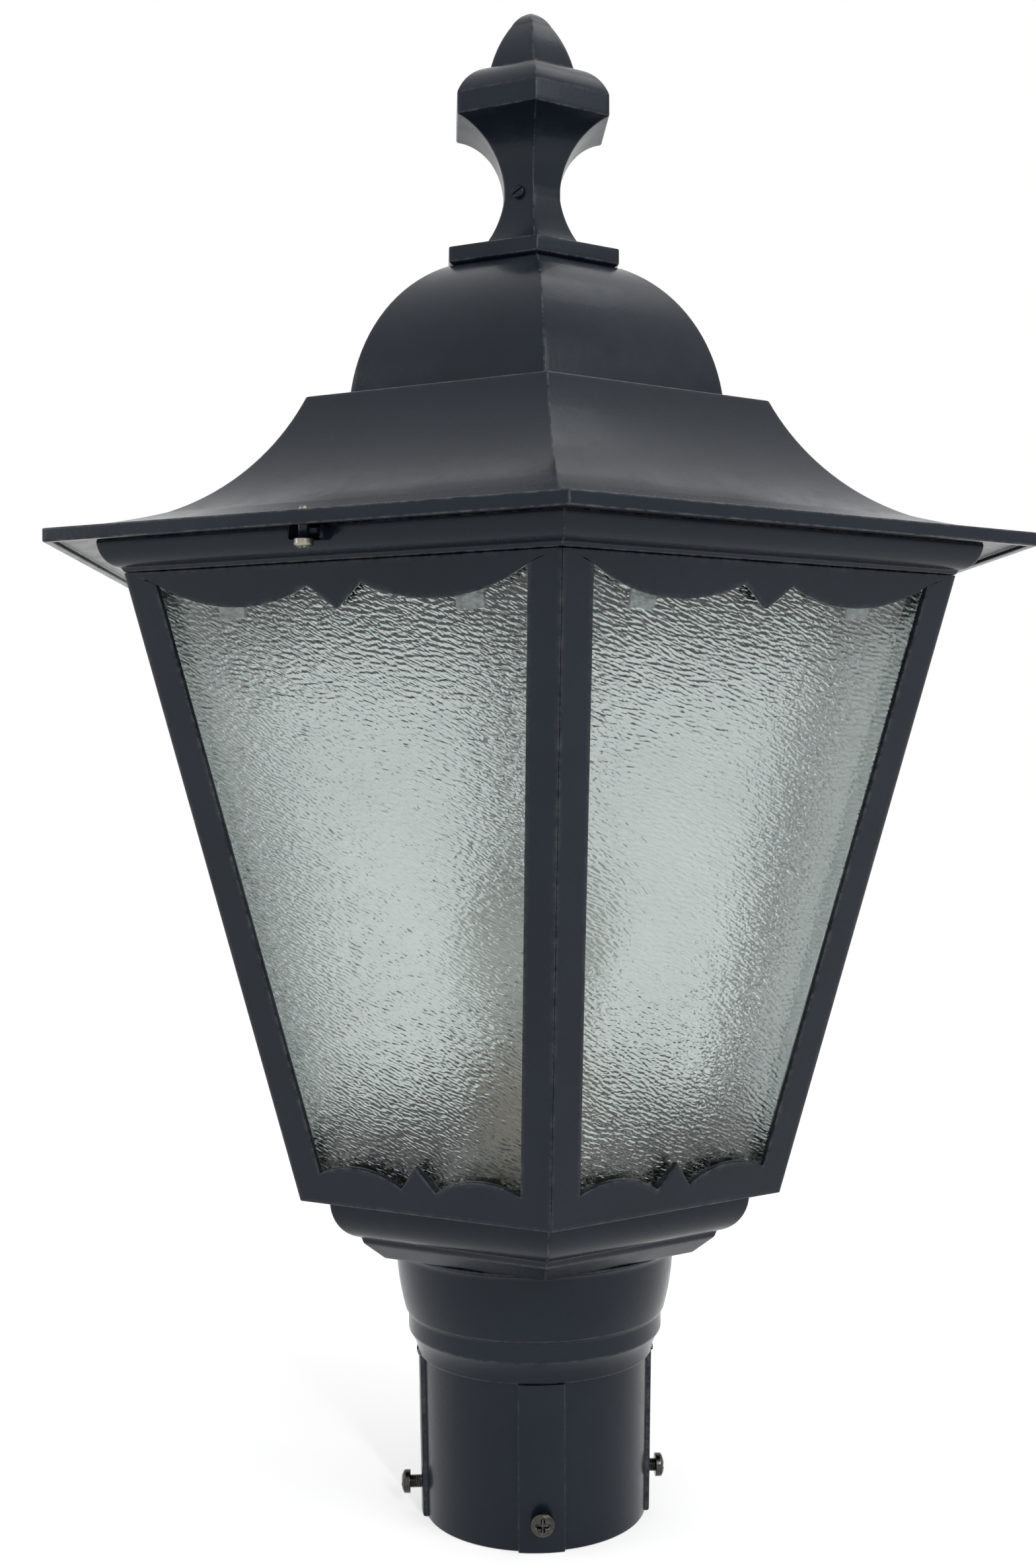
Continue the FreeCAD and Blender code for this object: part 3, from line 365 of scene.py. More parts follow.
def ripple_glass():
    """Grey-green cast glass with fine wavy lines over the modelled ripple."""
    made, tree, shader = material_of("ripple_glass", Transmission_Weight=1.0, IOR=1.48,
                                     Specular_IOR_Level=0.5)
    place = node(tree, "ShaderNodeTexCoord").outputs["UV"]
    tint = between(tree, spread(tree, noise(tree, place, 14, 3), 0.35, 0.65, 0, 1),
                   (0.655, 0.70, 0.688, 1), (0.72, 0.765, 0.752, 1))
    tree.links.new(tint, shader.inputs["Base Color"])
    tree.links.new(spread(tree, noise(tree, place, 160, 3), 0.3, 0.7, 0.13, 0.18),
                   shader.inputs["Roughness"])
    lines = node(tree, "ShaderNodeMapping", {"Vector": place, "Rotation": (0, 0, -0.4),
                                             "Scale": (0.0022, 0.00085, 1)}, vector_type="TEXTURE")
    waves = noise(tree, lines.outputs["Vector"], 1.0, 0, 0.5, 0.3)
    tree.links.new(bump(tree, waves, 0.0003), shader.inputs["Normal"])
    return made


def bright_steel(name="zinc_steel", colour=(0.62, 0.61, 0.57, 1), rough=(0.2, 0.42)):
    """Plated metal with fine turning marks and dulled patches."""
    made, tree, shader = material_of(name, Metallic=1.0)
    place = node(tree, "ShaderNodeTexCoord").outputs["Object"]
    patches = noise(tree, place, 420, 4, 0.6)
    dull = tuple(0.55 * channel for channel in colour[:3]) + (1,)
    tree.links.new(between(tree, spread(tree, patches, 0.4, 0.7, 0, 1), colour, dull),
                   shader.inputs["Base Color"])
    tree.links.new(spread(tree, patches, 0.3, 0.7, *rough), shader.inputs["Roughness"])
    tree.links.new(bump(tree, noise(tree, place, 3000, 2), 0.00002, 0.5), shader.inputs["Normal"])
    return made


def rubber():
    """Black rubber, slightly chalky."""
    made, tree, shader = material_of("black_rubber", Specular_IOR_Level=0.35)
    place = node(tree, "ShaderNodeTexCoord").outputs["Object"]
    bloom = spread(tree, noise(tree, place, 300, 4, 0.6), 0.45, 0.75, 0, 1)
    tree.links.new(between(tree, bloom, (0.012, 0.012, 0.012, 1), (0.035, 0.034, 0.032, 1)),
                   shader.inputs["Base Color"])
    tree.links.new(spread(tree, bloom, 0, 1, 0.55, 0.8), shader.inputs["Roughness"])
    tree.links.new(bump(tree, noise(tree, place, 1800, 2), 0.00004, 0.6), shader.inputs["Normal"])
    return made


def moulding(name, first, second, rough=(0.3, 0.5)):
    """Moulded insulating material with faint swirls."""
    made, tree, shader = material_of(name, Specular_IOR_Level=0.5)
    place = node(tree, "ShaderNodeTexCoord").outputs["Object"]
    swirl = spread(tree, noise(tree, place, 130, 5, 0.6, 1.2), 0.35, 0.68, 0, 1)
    tree.links.new(between(tree, swirl, first, second), shader.inputs["Base Color"])
    tree.links.new(spread(tree, swirl, 0, 1, *rough), shader.inputs["Roughness"])
    tree.links.new(bump(tree, noise(tree, place, 900, 2), 0.00003, 0.5), shader.inputs["Normal"])
    return made


def opal():
    """Opal glass of the lamp, warm white and smooth."""
    made, tree, shader = material_of("opal_glass", Subsurface_Weight=0.25, Specular_IOR_Level=0.5,
                                     Coat_Weight=0.4, Coat_Roughness=0.05)
    shader.inputs["Subsurface Radius"].default_value = (0.01, 0.01, 0.01)
    place = node(tree, "ShaderNodeTexCoord").outputs["Object"]
    haze = spread(tree, noise(tree, place, 60, 3), 0.35, 0.65, 0, 1)
    tree.links.new(between(tree, haze, (0.80, 0.79, 0.74, 1), (0.86, 0.85, 0.81, 1)),
                   shader.inputs["Base Color"])
    tree.links.new(spread(tree, haze, 0, 1, 0.18, 0.28), shader.inputs["Roughness"])
    return made


PAINT = enamel()
GLASS = ripple_glass()
STEEL = bright_steel()
SPRING = bright_steel("spring_steel", (0.5, 0.51, 0.51, 1), (0.4, 0.6))
GREY = bright_steel("weathered_zinc", (0.3, 0.285, 0.24, 1), (0.25, 0.45))
DULL = bright_steel("dull_zinc", (0.07, 0.068, 0.062, 1), (0.14, 0.32))
BRASS = bright_steel("brass", (0.72, 0.50, 0.20, 1), (0.22, 0.4))
CAP_METAL = bright_steel("lamp_cap_metal", (0.70, 0.68, 0.63, 1), (0.24, 0.42))
RUBBER = rubber()
BROWN = moulding("tan_moulding", (0.52, 0.42, 0.29, 1), (0.64, 0.52, 0.37, 1))
CREAM = moulding("cream_block", (0.62, 0.58, 0.48, 1), (0.70, 0.67, 0.58, 1), (0.4, 0.55))
OPAL = opal()

# ---------------------------------------------------------------- roof

eave_radius = corner("roof_skirt")
ledge_top = top("roof_skirt")
eave_top = ledge_top - 53.7
eave_bottom = eave_top - 4.6
flare_radius, flare_rise = 150.0, 8.4
ledge_radius = 97.0
roof_seat = top("roof_gasket") + 0.2
cornice_radius = corner("cornice_ring")
wall = SHELL / FLAT


def roof_skirt():
    """Flared skirt with a flat edge, its hollow, and the seat and spigot inside the cornice."""
    opening = 73.3 + 0.35
    bend = flare_radius - 0.55 * (flare_radius - ledge_radius)
    bend_height = eave_top + flare_rise + 0.372 * (ledge_top - eave_top - flare_rise)
    seat_radius = cornice_radius + 1
    shell = hexagonal([
        (eave_radius, eave_bottom + 2), (eave_radius, eave_top),
        (0.5 * (eave_radius + flare_radius), eave_top + 0.37 * flare_rise,
         flare_radius, eave_top + flare_rise),
        (bend, bend_height, ledge_radius, ledge_top),
        (opening, ledge_top), (opening, ledge_top - SHELL), (ledge_radius - wall, ledge_top - SHELL),
        (bend - wall, bend_height - SHELL, flare_radius - wall, eave_top + flare_rise - SHELL),
        (seat_radius, roof_seat), (seat_radius, roof_seat - 0.7), (eave_radius - wall, eave_top - SHELL),
        (eave_radius - wall, eave_bottom), (eave_radius, eave_bottom)])
    spigot_top = roof_seat + 0.8 * SHELL
    spigot = cornice_radius - 4.3 / FLAT
    rim = hexagonal([
        (cornice_radius - 0.5, roof_seat + 1), (cornice_radius - 0.5, spigot_top),
        (spigot - 3.6 / FLAT, spigot_top), (spigot - 3.6 / FLAT, low("roof_skirt")),
        (spigot, low("roof_skirt")), (spigot, roof_seat), (cornice_radius - 0.5, roof_seat)])
    return [shell, rim]


def roof_dome():
    """Six-sided dome with its flange and spigot."""
    foot, head = low("roof_dome") + 2.5, top("roof_dome")
    radius, head_radius, spigot = corner("roof_dome"), 38.0, 73.3
    middle, middle_height = 0.37 * head_radius + 0.63 * radius, foot + 0.655 * (head - foot)
    return [hexagonal([
        (radius, foot + 1), (middle, middle_height, head_radius, head), (5, head), (5, head - SHELL),
        (head_radius - wall, head - SHELL),
        (middle - wall, middle_height - SHELL, radius - wall - 0.2, foot + SHELL),
        (spigot - wall, foot + SHELL), (spigot - wall, foot - 2.5), (spigot, foot - 2.5),
        (spigot, foot), (radius, foot)])]


def finial_stem():
    """Plate, waisted stem and banded cup."""
    z = low("finial_stem")
    plate = corner("finial_stem")
    waist, cup, bud = 12.5, 33.4, 18.5
    foot, waist_low, waist_top = z + 7.4, z + 28.9, z + 33.4
    cup_low, cup_top, shoulder = z + 58.2, z + 66.4, top("finial_stem")
    return [hexagonal([
        (0, z), (plate - 3.2, z), (plate, z + 1.6), (plate, foot), (24, foot),
        (17.1, foot + 9.0, waist, waist_low), (waist, waist_top),
        (17.2, waist_top + 13.1, cup, cup_low), (cup, cup_top),
        (29.7, cup_top + 5.7, bud, shoulder), (0, shoulder)], ridge=0.9, closed=False) + (False,)]


def finial_bud():
    """Pointed bud over the cup."""
    z, tip = low("finial_bud"), top("finial_bud")
    height, radius = tip - z, corner("finial_bud")
    knee, knee_height = 0.49 * radius, z + 0.73 * height
    return [hexagonal([
        (0, z), (radius, z), (0.8 * radius, z + 0.375 * height, knee, knee_height),
        (0.6 * knee, knee_height + 0.62 * (tip - knee_height), 1, tip), (0, tip)],
        edge=0.8, ridge=1.2, closed=False) + (False,)]


piece("roof_skirt_casting", roof_skirt(), PAINT, "roof", ["roof_skirt"], "cast_paint")
piece("roof_dome_casting", roof_dome(), PAINT, "roof", ["roof_dome"], "cast_paint")
piece("finial_stem_casting", finial_stem(), PAINT, "roof", ["finial_stem"], "cast_paint")
piece("finial_bud_casting", finial_bud(), PAINT, "roof", ["finial_bud"], "cast_paint")

# ---------------------------------------------------------------- cornice and side frames

frame_bottom, frame_top = low("side_frame_1"), top("side_frame_1")
frame_height = frame_top - frame_bottom
foot_radius, head_radius = 101.0, 165.8
lean = math.atan((head_radius - foot_radius) * FLAT / frame_height)
slope = frame_height / math.cos(lean)
PLATE = 4.0
FLANGE = 3.0
RIB = 3.0
GLASS_FRONT = PLATE + 0.3
GLASS_BACK = GLASS_FRONT + 3.0
STILE = 11.8
MITRE_ROOM = 0.02
tray_radius = corner("base_tray")
rim_radius = tray_radius - 7.8 / FLAT
head_opening = head_radius * FLAT - PLATE / math.cos(lean) - 17.0


def half_width(up):
    """Half the width of a side frame's outer plane at a distance up its slope."""
    return HALF_EDGE * (foot_radius * FLAT + up * math.sin(lean))


def on_face(across, up, depth):
    """Points of the +X face from distances across it, up its slope and behind its outer plane."""
    x = foot_radius * FLAT + up * math.sin(lean) - depth * math.cos(lean)
    z = frame_bottom + up * math.cos(lean) + depth * math.sin(lean)
    return np.stack(np.broadcast_arrays(x, across, z), -1)


def window():
    """Outline of the opening in (across, up): slanted stiles, a scalloped head and a scalloped foot."""
    foot_corner, head_corner = 11.9, slope - 4.2
    foot_half = half_width(foot_corner) - STILE
    head_half = half_width(head_corner) - STILE
    right = [(foot_half, foot_corner), (head_half, head_corner),
             (0.48 * head_half, slope - 13.6, 0.14 * head_half, slope - 7.5), (0, slope - 15.5)]
    left = [(-0.14 * head_half, slope - 7.5),
            (-0.48 * head_half, slope - 13.6, -head_half, head_corner), (-foot_half, foot_corner),
            (-0.6 * foot_half, 15.4, -0.17 * foot_half, 9.5), (0, 18.6),
            (0.17 * foot_half, 9.5), (0.6 * foot_half, 15.4, foot_half, foot_corner)]
    middle = (0.5 * (foot_half + head_half), 0.5 * (foot_corner + head_corner))
    points, _ = outline([middle] + right[1:] + left, 0.5)
    return points, (foot_half, foot_corner), (head_half, head_corner)


def side_frame():
    """Plate with a scalloped opening, its side ribs and its foot and head flanges, for the +X face.

    A section is carried round the opening: for each point of the opening the section runs from
    there to the matching point of the plate's border, which moves in with depth on the mitred
    sides, and returns behind the plate, where the opening's edge is chamfered.
    """
    opening, (foot_half, foot_up), (head_half, head_up) = window()
    across, up = opening[:, 0], opening[:, 1]
    rise = (up - foot_up) / (head_up - foot_up)
    share = across / (foot_half + (head_half - foot_half) * rise)
    stile = np.abs(share) > 0.998
    foot = ~stile & (rise < 0.5)
    border_up = np.where(stile, rise * slope, np.where(foot, 0, slope))
    sideways = np.where(stile, np.sign(share), np.where(foot, across / foot_half, across / head_half))
    flange_depth = np.where(foot, (foot_radius - rim_radius) * FLAT * math.cos(lean),
                            (head_radius * FLAT - head_opening) * math.cos(lean))
    rib_depth = np.where(stile, GLASS_BACK + 0.3, flange_depth)
    border = np.stack([sideways * half_width(border_up), border_up], -1)
    inward = opening - border
    inward /= np.linalg.norm(inward, axis=1, keepdims=True)

    def from_border(offset, depth):
        level = np.where(stile, border_up * (1 - depth * math.tan(lean) / slope),
                         border_up - depth * math.tan(lean))
        half = half_width(level) - depth * math.cos(lean) * HALF_EDGE - MITRE_ROOM / FLAT
        edge = np.stack([sideways * half, level], -1) + offset * inward
        return on_face(edge[:, 0], edge[:, 1], depth)

    def from_opening(offset, depth):
        edge = opening - offset * inward
        return on_face(edge[:, 0], edge[:, 1], depth + 0 * across)

    flush = 0 * across
    soft = 0.6
    rows = [from_opening(1.9, PLATE), from_opening(0, 1.9), from_opening(0, soft),
            from_opening(0.18 * soft, 0.18 * soft), from_opening(soft, 0), from_opening(2.2, 0),
            from_border(2.2, flush), from_border(soft, flush),
            from_border(0.18 * soft, flush + 0.18 * soft), from_border(0, flush + soft),
            from_border(0, flush + 2), from_border(0, rib_depth - 0.4), from_border(0.4, rib_depth),
            from_border(RIB - 0.4, rib_depth), from_border(RIB, rib_depth - 0.4),
            from_border(RIB, flush + PLATE), from_opening(3.2, PLATE)]
    # Rows round the opening's and the border's edges are lighter: edge wear plus a painted highlight.
    wear_and_sheen = np.zeros(len(rows))
    wear_and_sheen[[3, 8]] = 1, 0.8
    wear_and_sheen[[2, 4, 7, 9]] = 0.3
    return np.array(rows), np.broadcast_to(wear_and_sheen[:, None], (len(rows), len(across)))


def cornice():
    """Quarter-round cornice with its inner flange and three lugs for the roof screws."""
    z, z_top, floor = low("cornice_ring"), top("roof_gasket") - 1.8, low("cornice_ring") + 4
    foot, radius = head_radius + 1.2, cornice_radius
    rise = z_top - z - 1.6
    slant = math.sqrt(0.5)
    body = hexagonal([
        (head_radius - 4, z), (head_radius, z), (foot, z + 1.6),
        (foot + (radius - foot) * slant, z_top - rise * slant, radius, z_top),
        (radius - 4 / FLAT, z_top), (radius - 4 / FLAT, floor + 4), (head_radius - 4 / FLAT, floor),
        (head_opening / FLAT, floor), (head_opening / FLAT, z)])
    lugs = [lug(FACES[index]) for index in (0, 2, 4)]
    return [body] + lugs


def lug(angle):
    """Half-round lug: a D-shaped border and a round hole joined by a section that goes round both."""
    centre, radius, hole = 158.0, 6.0, 1.8
    z_top = eave_top - SHELL - 0.3
    z = z_top - 4.5
    swing = np.linspace(0, 2 * math.pi, 48, endpoint=False)
    border = radius * ray(swing)
    root = cornice_radius * FLAT - 6 - centre
    border[:, 0] = np.where(border[:, 0] > 0, root * np.minimum(1, 1.6 * np.cos(swing)), border[:, 0])
    border[:, 1] = np.where(border[:, 0] < 0, border[:, 1], radius * np.clip(1.6 * np.sin(swing), -1, 1))
    bore = hole * ray(swing)
    rings = [(border, z + 0.6), (border, z_top - 0.6), (0.93 * border, z_top), (1.2 * bore, z_top),
             (bore, z_top - 0.3), (bore, z + 0.3), (1.2 * bore, z), (0.93 * border, z)]
    points = np.array([np.column_stack([ring, np.full(len(ring), height)]) for ring, height in rings])
    points[..., 0] += centre
    return turn_about_axis(points, angle), np.zeros(points.shape[:2])


piece("cornice_casting", cornice(), PAINT, "lantern", ["cornice_ring"], "cast_paint")
frame_grid, frame_wear_and_sheen = side_frame()
for number, angle in enumerate(FACES, 1):
    piece("side_frame_casting_%d" % number, [(turn_about_axis(frame_grid, angle), frame_wear_and_sheen)],
          PAINT, "lantern", ["side_frame_%d" % number], "cast_paint")

# ---------------------------------------------------------------- glass

WAVE = 1.9            # length of one short wave of the glass ripple
RIPPLE_DEPTH = 0.15
PANE_STEP_UP, PANE_STEP_ACROSS = 0.455, 0.8


def ripple(rows, columns, spacing_up, spacing_across, seed):
    """Wavy relief of unit depth: white noise passed through a band round one wave.

    The band is exp(-((|f| - 1/WAVE) / 0.12)^2 - (g / 0.22)^2), with f and g the frequencies across
    and along the crests, which fall a little to the right.
    """
    waves = np.fft.fft2(np.random.default_rng(seed).standard_normal((rows, columns)))
    up = np.fft.fftfreq(rows, spacing_up)[:, None]
    across = np.fft.fftfreq(columns, spacing_across)[None, :]
    fall = math.radians(18)
    over = up * math.cos(fall) + across * math.sin(fall)
    along = across * math.cos(fall) - up * math.sin(fall)
    band = np.exp(-((np.abs(over) - 1 / WAVE) / 0.12) ** 2 - (along / 0.22) ** 2)
    relief = np.fft.ifft2(waves * band).real
    return np.clip(relief / relief.std() / 1.9, -1, 1)


def glass_pane(number, angle):
    """Trapezoid pane: its outer side is a grid with the ripple as depth, its back a flat."""
    margin = GLASS_BACK * math.cos(lean) * HALF_EDGE + (RIB + 0.1) / FLAT + 0.6
    first = (FLANGE + 0.3 - GLASS_FRONT * math.sin(lean)) / math.cos(lean)
    last = (frame_height - FLANGE - 0.3 - GLASS_BACK * math.sin(lean)) / math.cos(lean)
    rows, columns = 500, 180
    up = np.linspace(first, last, rows)[:, None]
    side = np.linspace(-1, 1, columns)[None, :]
    across = side * (half_width(up) - margin)
    relief = ripple(rows, columns, PANE_STEP_UP, PANE_STEP_ACROSS, number)
    fade = (np.clip((1 - np.abs(side)) * 20, 0, 1) * np.clip((up - first) / 4, 0, 1)
            * np.clip((last - up) / 4, 0, 1))
    depth = GLASS_FRONT + 0.02 + RIPPLE_DEPTH - RIPPLE_DEPTH * relief * fade
    front = on_face(across, up, depth).reshape(-1, 3)
    index = np.arange(rows * columns).reshape(rows, columns)
    rim = np.concatenate([index[0, :-1], index[:-1, -1], index[-1, :0:-1], index[:0:-1, 0]])
    back = on_face(across + 0 * up, up + 0 * across, GLASS_BACK + 0 * across).reshape(-1, 3)[rim]
    behind = rows * columns + np.arange(len(rim))
    quads = np.stack([index[:-1, :-1], index[:-1, 1:], index[1:, 1:], index[1:, :-1]], -1).reshape(-1, 4)
    walls = np.stack([rim, behind, np.roll(behind, -1), np.roll(rim, -1)], -1)
    faces = quads.tolist() + walls.tolist() + [behind[::-1].tolist()]
    vertices = turn_about_axis(np.concatenate([front, back]), angle)
    made = make_object("ripple_pane_%d" % number, vertices, faces, GLASS, "lantern",
                       ["glass_pane_%d" % number], "pane_glass")
    made.data.polygons.foreach_set("use_smooth", np.arange(len(faces)) < len(quads))
    flat = np.stack([across + 0 * up, up + 0 * across], -1).reshape(-1, 2)
    flat_uv = (np.concatenate([flat, flat[rim]]) * MM).astype(np.float32)
    corners = np.empty(len(made.data.loops), np.int32)
    made.data.loops.foreach_get("vertex_index", corners)
    made.data.uv_layers.new(name="pane").data.foreach_set("uv", flat_uv[corners].ravel())
    return made


for number, angle in enumerate(FACES, 1):
    glass_pane(number, angle)

# ---------------------------------------------------------------- tray and pole fitter


def base_tray():
    """Quarter-round tray with a lip, a bevelled underside and a sunk floor."""
    z, z_top = low("base_tray"), top("base_tray")
    floor = z + 4.5
    slant = math.sqrt(0.5)
    outside = 61 + 14.5 * 4.5 / 7 - 3.7 / FLAT
    return [hexagonal([
        (30, z), (66.5, z), (75.5, z + 7), (76.5, z + 9.5),
        (76.5 + 12.5 * slant, z_top - 16.5 * slant, tray_radius, z_top), (rim_radius, z_top),
        (outside, floor), (11.9, floor), (11.9, z)])]


TUBE_LENGTH = 63.0
tube_radius = 43.0
socket_radius = 39.0
rib_height = 1.6
rib_half = 8.5


def pole_fitter():
    """Tube and bell neck turned about Z; four flat-sided ribs stand out of the tube.

    r(s, a) = outline radius + rib height * k(x), x = r sin(a - rib direction), where k falls from
    1 to 0 within half a millimetre of the rib's half width, on the tube's outside only.
    """
    z_top = top("pole_fitter")
    cove, band_low, band_top = TUBE_LENGTH, TUBE_LENGTH + 9, TUBE_LENGTH + 16
    bell_low, bell_top = band_top + 1.2, band_top + 23.5
    ceiling = z_top - 7.5
    steps = [
        (41, 0), (tube_radius, 0), (tube_radius + 1, cove), (45.6, cove),
        (0.65 * 45.6 + 0.35 * 49.3, cove + 4.95, 49.3, band_low), (49.3, band_top), (50.5, bell_low),
        (0.32 * 50.5 + 0.68 * 54, 0.5 * (bell_low + bell_top), 54, bell_top),
        (58 - 2.83, bell_top + 2.83, 58, bell_top + 4), (58, z_top), (16, z_top), (16, ceiling),
        (50.2, ceiling), (50.2, ceiling - 7.5), (45.5, band_top), (45.5, band_low),
        (socket_radius, cove), (socket_radius, 0)]
    line, standing = outline(steps, 0.6)
    radius, height = line[:, 0][:, None], line[:, 1][:, None]
    steps_aside = np.array([-0.7, -0.35, -0.1, 0.1, 0.35, 0.7])
    near_edge = np.degrees(np.arcsin((rib_half + steps_aside) / tube_radius))
    offsets = np.concatenate([-near_edge[::-1], [-7, -3.5, 0, 3.5, 7], near_edge, np.arange(15, 76, 4)])
    degrees = np.sort(np.concatenate([offsets % 360 + quarter for quarter in (0, 90, 180, 270)]) % 360)
    angle = np.radians(degrees)[None, :]
    from_rib = (angle + math.pi / 4) % (math.pi / 2) - math.pi / 4
    sideways = np.abs(radius * np.sin(from_rib))
    lift = np.clip(0.5 - (sideways - rib_half) / 0.8, 0, 1)
    lift = lift * lift * (3 - 2 * lift)
    on_tube = (radius > socket_radius + 2.5) & (height < TUBE_LENGTH + 0.01) & (radius < 44.9)
    radius = radius + rib_height * lift * on_tube
    plan = radius[..., None] * ray(angle)
    points = np.concatenate([plan, np.broadcast_to(height[..., None], plan.shape[:2] + (1,))], -1)
    # Convex joints and the ribs' edges are lighter: edge wear plus a painted highlight along the rib edges.
    wear_and_sheen = np.maximum(standing[:, None], on_tube * 4 * lift * (1 - lift))
    return [(points, np.broadcast_to(wear_and_sheen, plan.shape[:2]))]


piece("base_tray_casting", base_tray(), PAINT, "lantern", ["base_tray"], "cast_paint")
piece("pole_fitter_casting", pole_fitter(), PAINT, "lantern", ["pole_fitter"], "cast_paint")

# ---------------------------------------------------------------- screws


def screw(radius, length, head_radius, head_height, pitch):
    """Pan-head screw along -Z: shank radius R + h * w(z / pitch - a / 2 pi) with w a rounded
    sawtooth, and a domed head whose cross recess sinks by the depth times the arm's profile."""
    columns = 48
    angle = np.linspace(0, 2 * math.pi, columns, endpoint=False)[None, :]
    shank_z = np.linspace(-length, -0.01, int(length / pitch * 8))[:, None]
    wave = np.abs((shank_z / pitch - angle / (2 * math.pi)) % 1 * 2 - 1)
    taper = np.clip((shank_z + length) / (1.5 * pitch), 0.35, 1)
    shank_r = (radius - 0.3 * pitch * wave) * taper ** 0.3
    share = np.array([1, 1, 1, 1, 0.99, 0.96, 0.9, 0.8, 0.7, 0.6, 0.5, 0.42, 0.34, 0.26, 0.18, 0.1,
                      0.04])[:, None]
    lift = np.array([0, 0.1, 0.3, 0.5])[:, None]
    dome = 0.5 + 0.5 * np.sqrt(np.clip(1 - share[4:] ** 2 * 0.96, 0, 1))
    head_r = head_radius * share + 0 * angle
    head_z = head_height * np.concatenate([lift, dome]) + 0 * angle
    x, y = np.abs(head_r * np.cos(angle)), np.abs(head_r * np.sin(angle))
    thin, long = np.minimum(x, y) / head_radius, np.maximum(x, y) / head_radius
    arm = np.clip((0.17 - thin) / 0.06, 0, 1) * np.clip((0.62 - long) / 0.1, 0, 1)
    head_z = head_z - 0.45 * head_height * arm * (share < 0.75)
    under_r = np.array([[radius], [0.97 * head_radius]]) + 0 * angle
    under_z = np.array([[0.0], [0.0]]) + 0 * angle
    r = np.concatenate([shank_r + 0 * angle, under_r, head_r])
    z = np.concatenate([shank_z + 0 * angle, under_z, head_z])
    points = np.stack([r * np.cos(angle), r * np.sin(angle), z], -1)
    return points, np.zeros(r.shape), False


def placed(surface, place, direction):
    """A screw's surface set on its seat and turned to its direction."""
    points, wear_and_sheen, loop = surface
    return [(aimed(points, place, direction), wear_and_sheen, loop)]


def set_screw_places():
    """Name, seat and outward direction of each set screw, read from its node's box."""
    for name, axis, sign in (("front", 1, -1), ("right", 0, 1), ("back", 1, 1), ("left", 0, -1)):
        lowest, highest = (np.array(corner_point) / MM for corner_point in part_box("set_screw_" + name))
        place = (lowest + highest) / 2
        end = highest[axis] if sign > 0 else lowest[axis]
        place[axis] = end - sign * 3.5
        direction = np.zeros(3)
        direction[axis] = sign
        yield name, place, direction


set_screw_surface = screw(2.5, 8.0, 4.4, 3.5, 0.8)
for name, place, direction in set_screw_places():
    piece("set_screw_" + name + "_threaded", placed(set_screw_surface, place, direction), DULL,
          "set_screw_%s_body" % name, ["set_screw_" + name], "plated_steel")
roof_screw_surface = screw(1.75, 10.2, 3.2, 3.0, 0.7)
for number, angle in enumerate((240, 0, 120), 1):
    place = 158.0 * np.array([math.cos(math.radians(angle)), math.sin(math.radians(angle)), 0])
    place[2] = low("roof_screw_%d" % number) + 3.0
    piece("roof_screw_%d_threaded" % number, placed(roof_screw_surface, place, (0, 0, -1)), GREY,
          "roof_screw_%d_body" % number, ["roof_screw_%d" % number], "plated_steel")

# ---------------------------------------------------------------- lamp


def bulb():
    """Opal bulb: neck, swelling and round crown turned about Z."""
    z, z_top, radius = low("lamp_bulb"), top("lamp_bulb"), corner("lamp_bulb")
    height = z_top - z
    centre, waist = z_top - radius, z + 0.25 * height
    slant = radius * math.sqrt(0.5)
    return [turned([(0, z), (14.1, z), (0.38 * radius + 5.5, z + 0.14 * height, 0.66 * radius, waist),
                    (0.9 * radius, waist + 0.45 * (centre - waist), radius, centre),
                    (slant, centre + slant, 0.3, z_top)], 0.5, closed=False) + (False,)]


def lamp_cap():
    """Screw cap: its rolled thread is r = R - h (1 - cos(2 pi z / pitch - a)) / 2, over insulator and tip."""
    z, z_top = low("lamp_cap"), top("lamp_cap")
    radius, pitch, depth = 13.1, 3.6, 1.1
    angle = np.linspace(0, 2 * math.pi, 72, endpoint=False)[None, :]
    height = np.linspace(z + 5.5, z_top - 1.5, 60)[:, None]
    rolled = radius - 0.5 * depth * (1 - np.cos(2 * math.pi * height / pitch - angle))
    lower = np.array([(1.5, z), (4.3, z), (5.2, z + 1), (9.8, z + 3), (12.2, z + 5)])
    upper = np.array([(radius, z_top - 1), (radius, z_top)])
    r = np.concatenate([lower[:, :1] + 0 * angle, rolled, upper[:, :1] + 0 * angle])
    h = np.concatenate([lower[:, 1:] + 0 * angle, height + 0 * angle, upper[:, 1:] + 0 * angle])
    return [(np.stack([r * np.cos(angle), r * np.sin(angle), h], -1), np.zeros(r.shape), False)]


def lampholder():
    """Moulded holder with a ribbed grip ring, a nipple and a well for the lamp."""
    nipple, z_top = low("lampholder_body"), top("lampholder_body")
    z = nipple + 9
    ring = z_top - 13.5
    return [turned([(3.75, nipple), (5, nipple), (5, z), (14.6, z), (18.1, z + 3.6, 19.5, z + 11.25),
                    (19.5, ring), (20.8, ring + 1), (20.8, z_top - 2), (18.8, z_top), (14.4, z_top),
                    (14.4, z + 14), (2.5, z + 14), (2.5, nipple)], 0.5)]


piece("lamp_bulb_opal", bulb(), OPAL, "lamp", ["lamp_bulb"], "opal_glass")
piece("lamp_cap_rolled", lamp_cap(), CAP_METAL, "lamp", ["lamp_cap"], "lamp_cap_metal")
piece("lampholder_moulding", lampholder(), BROWN, "lantern", ["lampholder_body"], "holder_plastic")

# ---------------------------------------------------------------- finishes of the nodes that stay

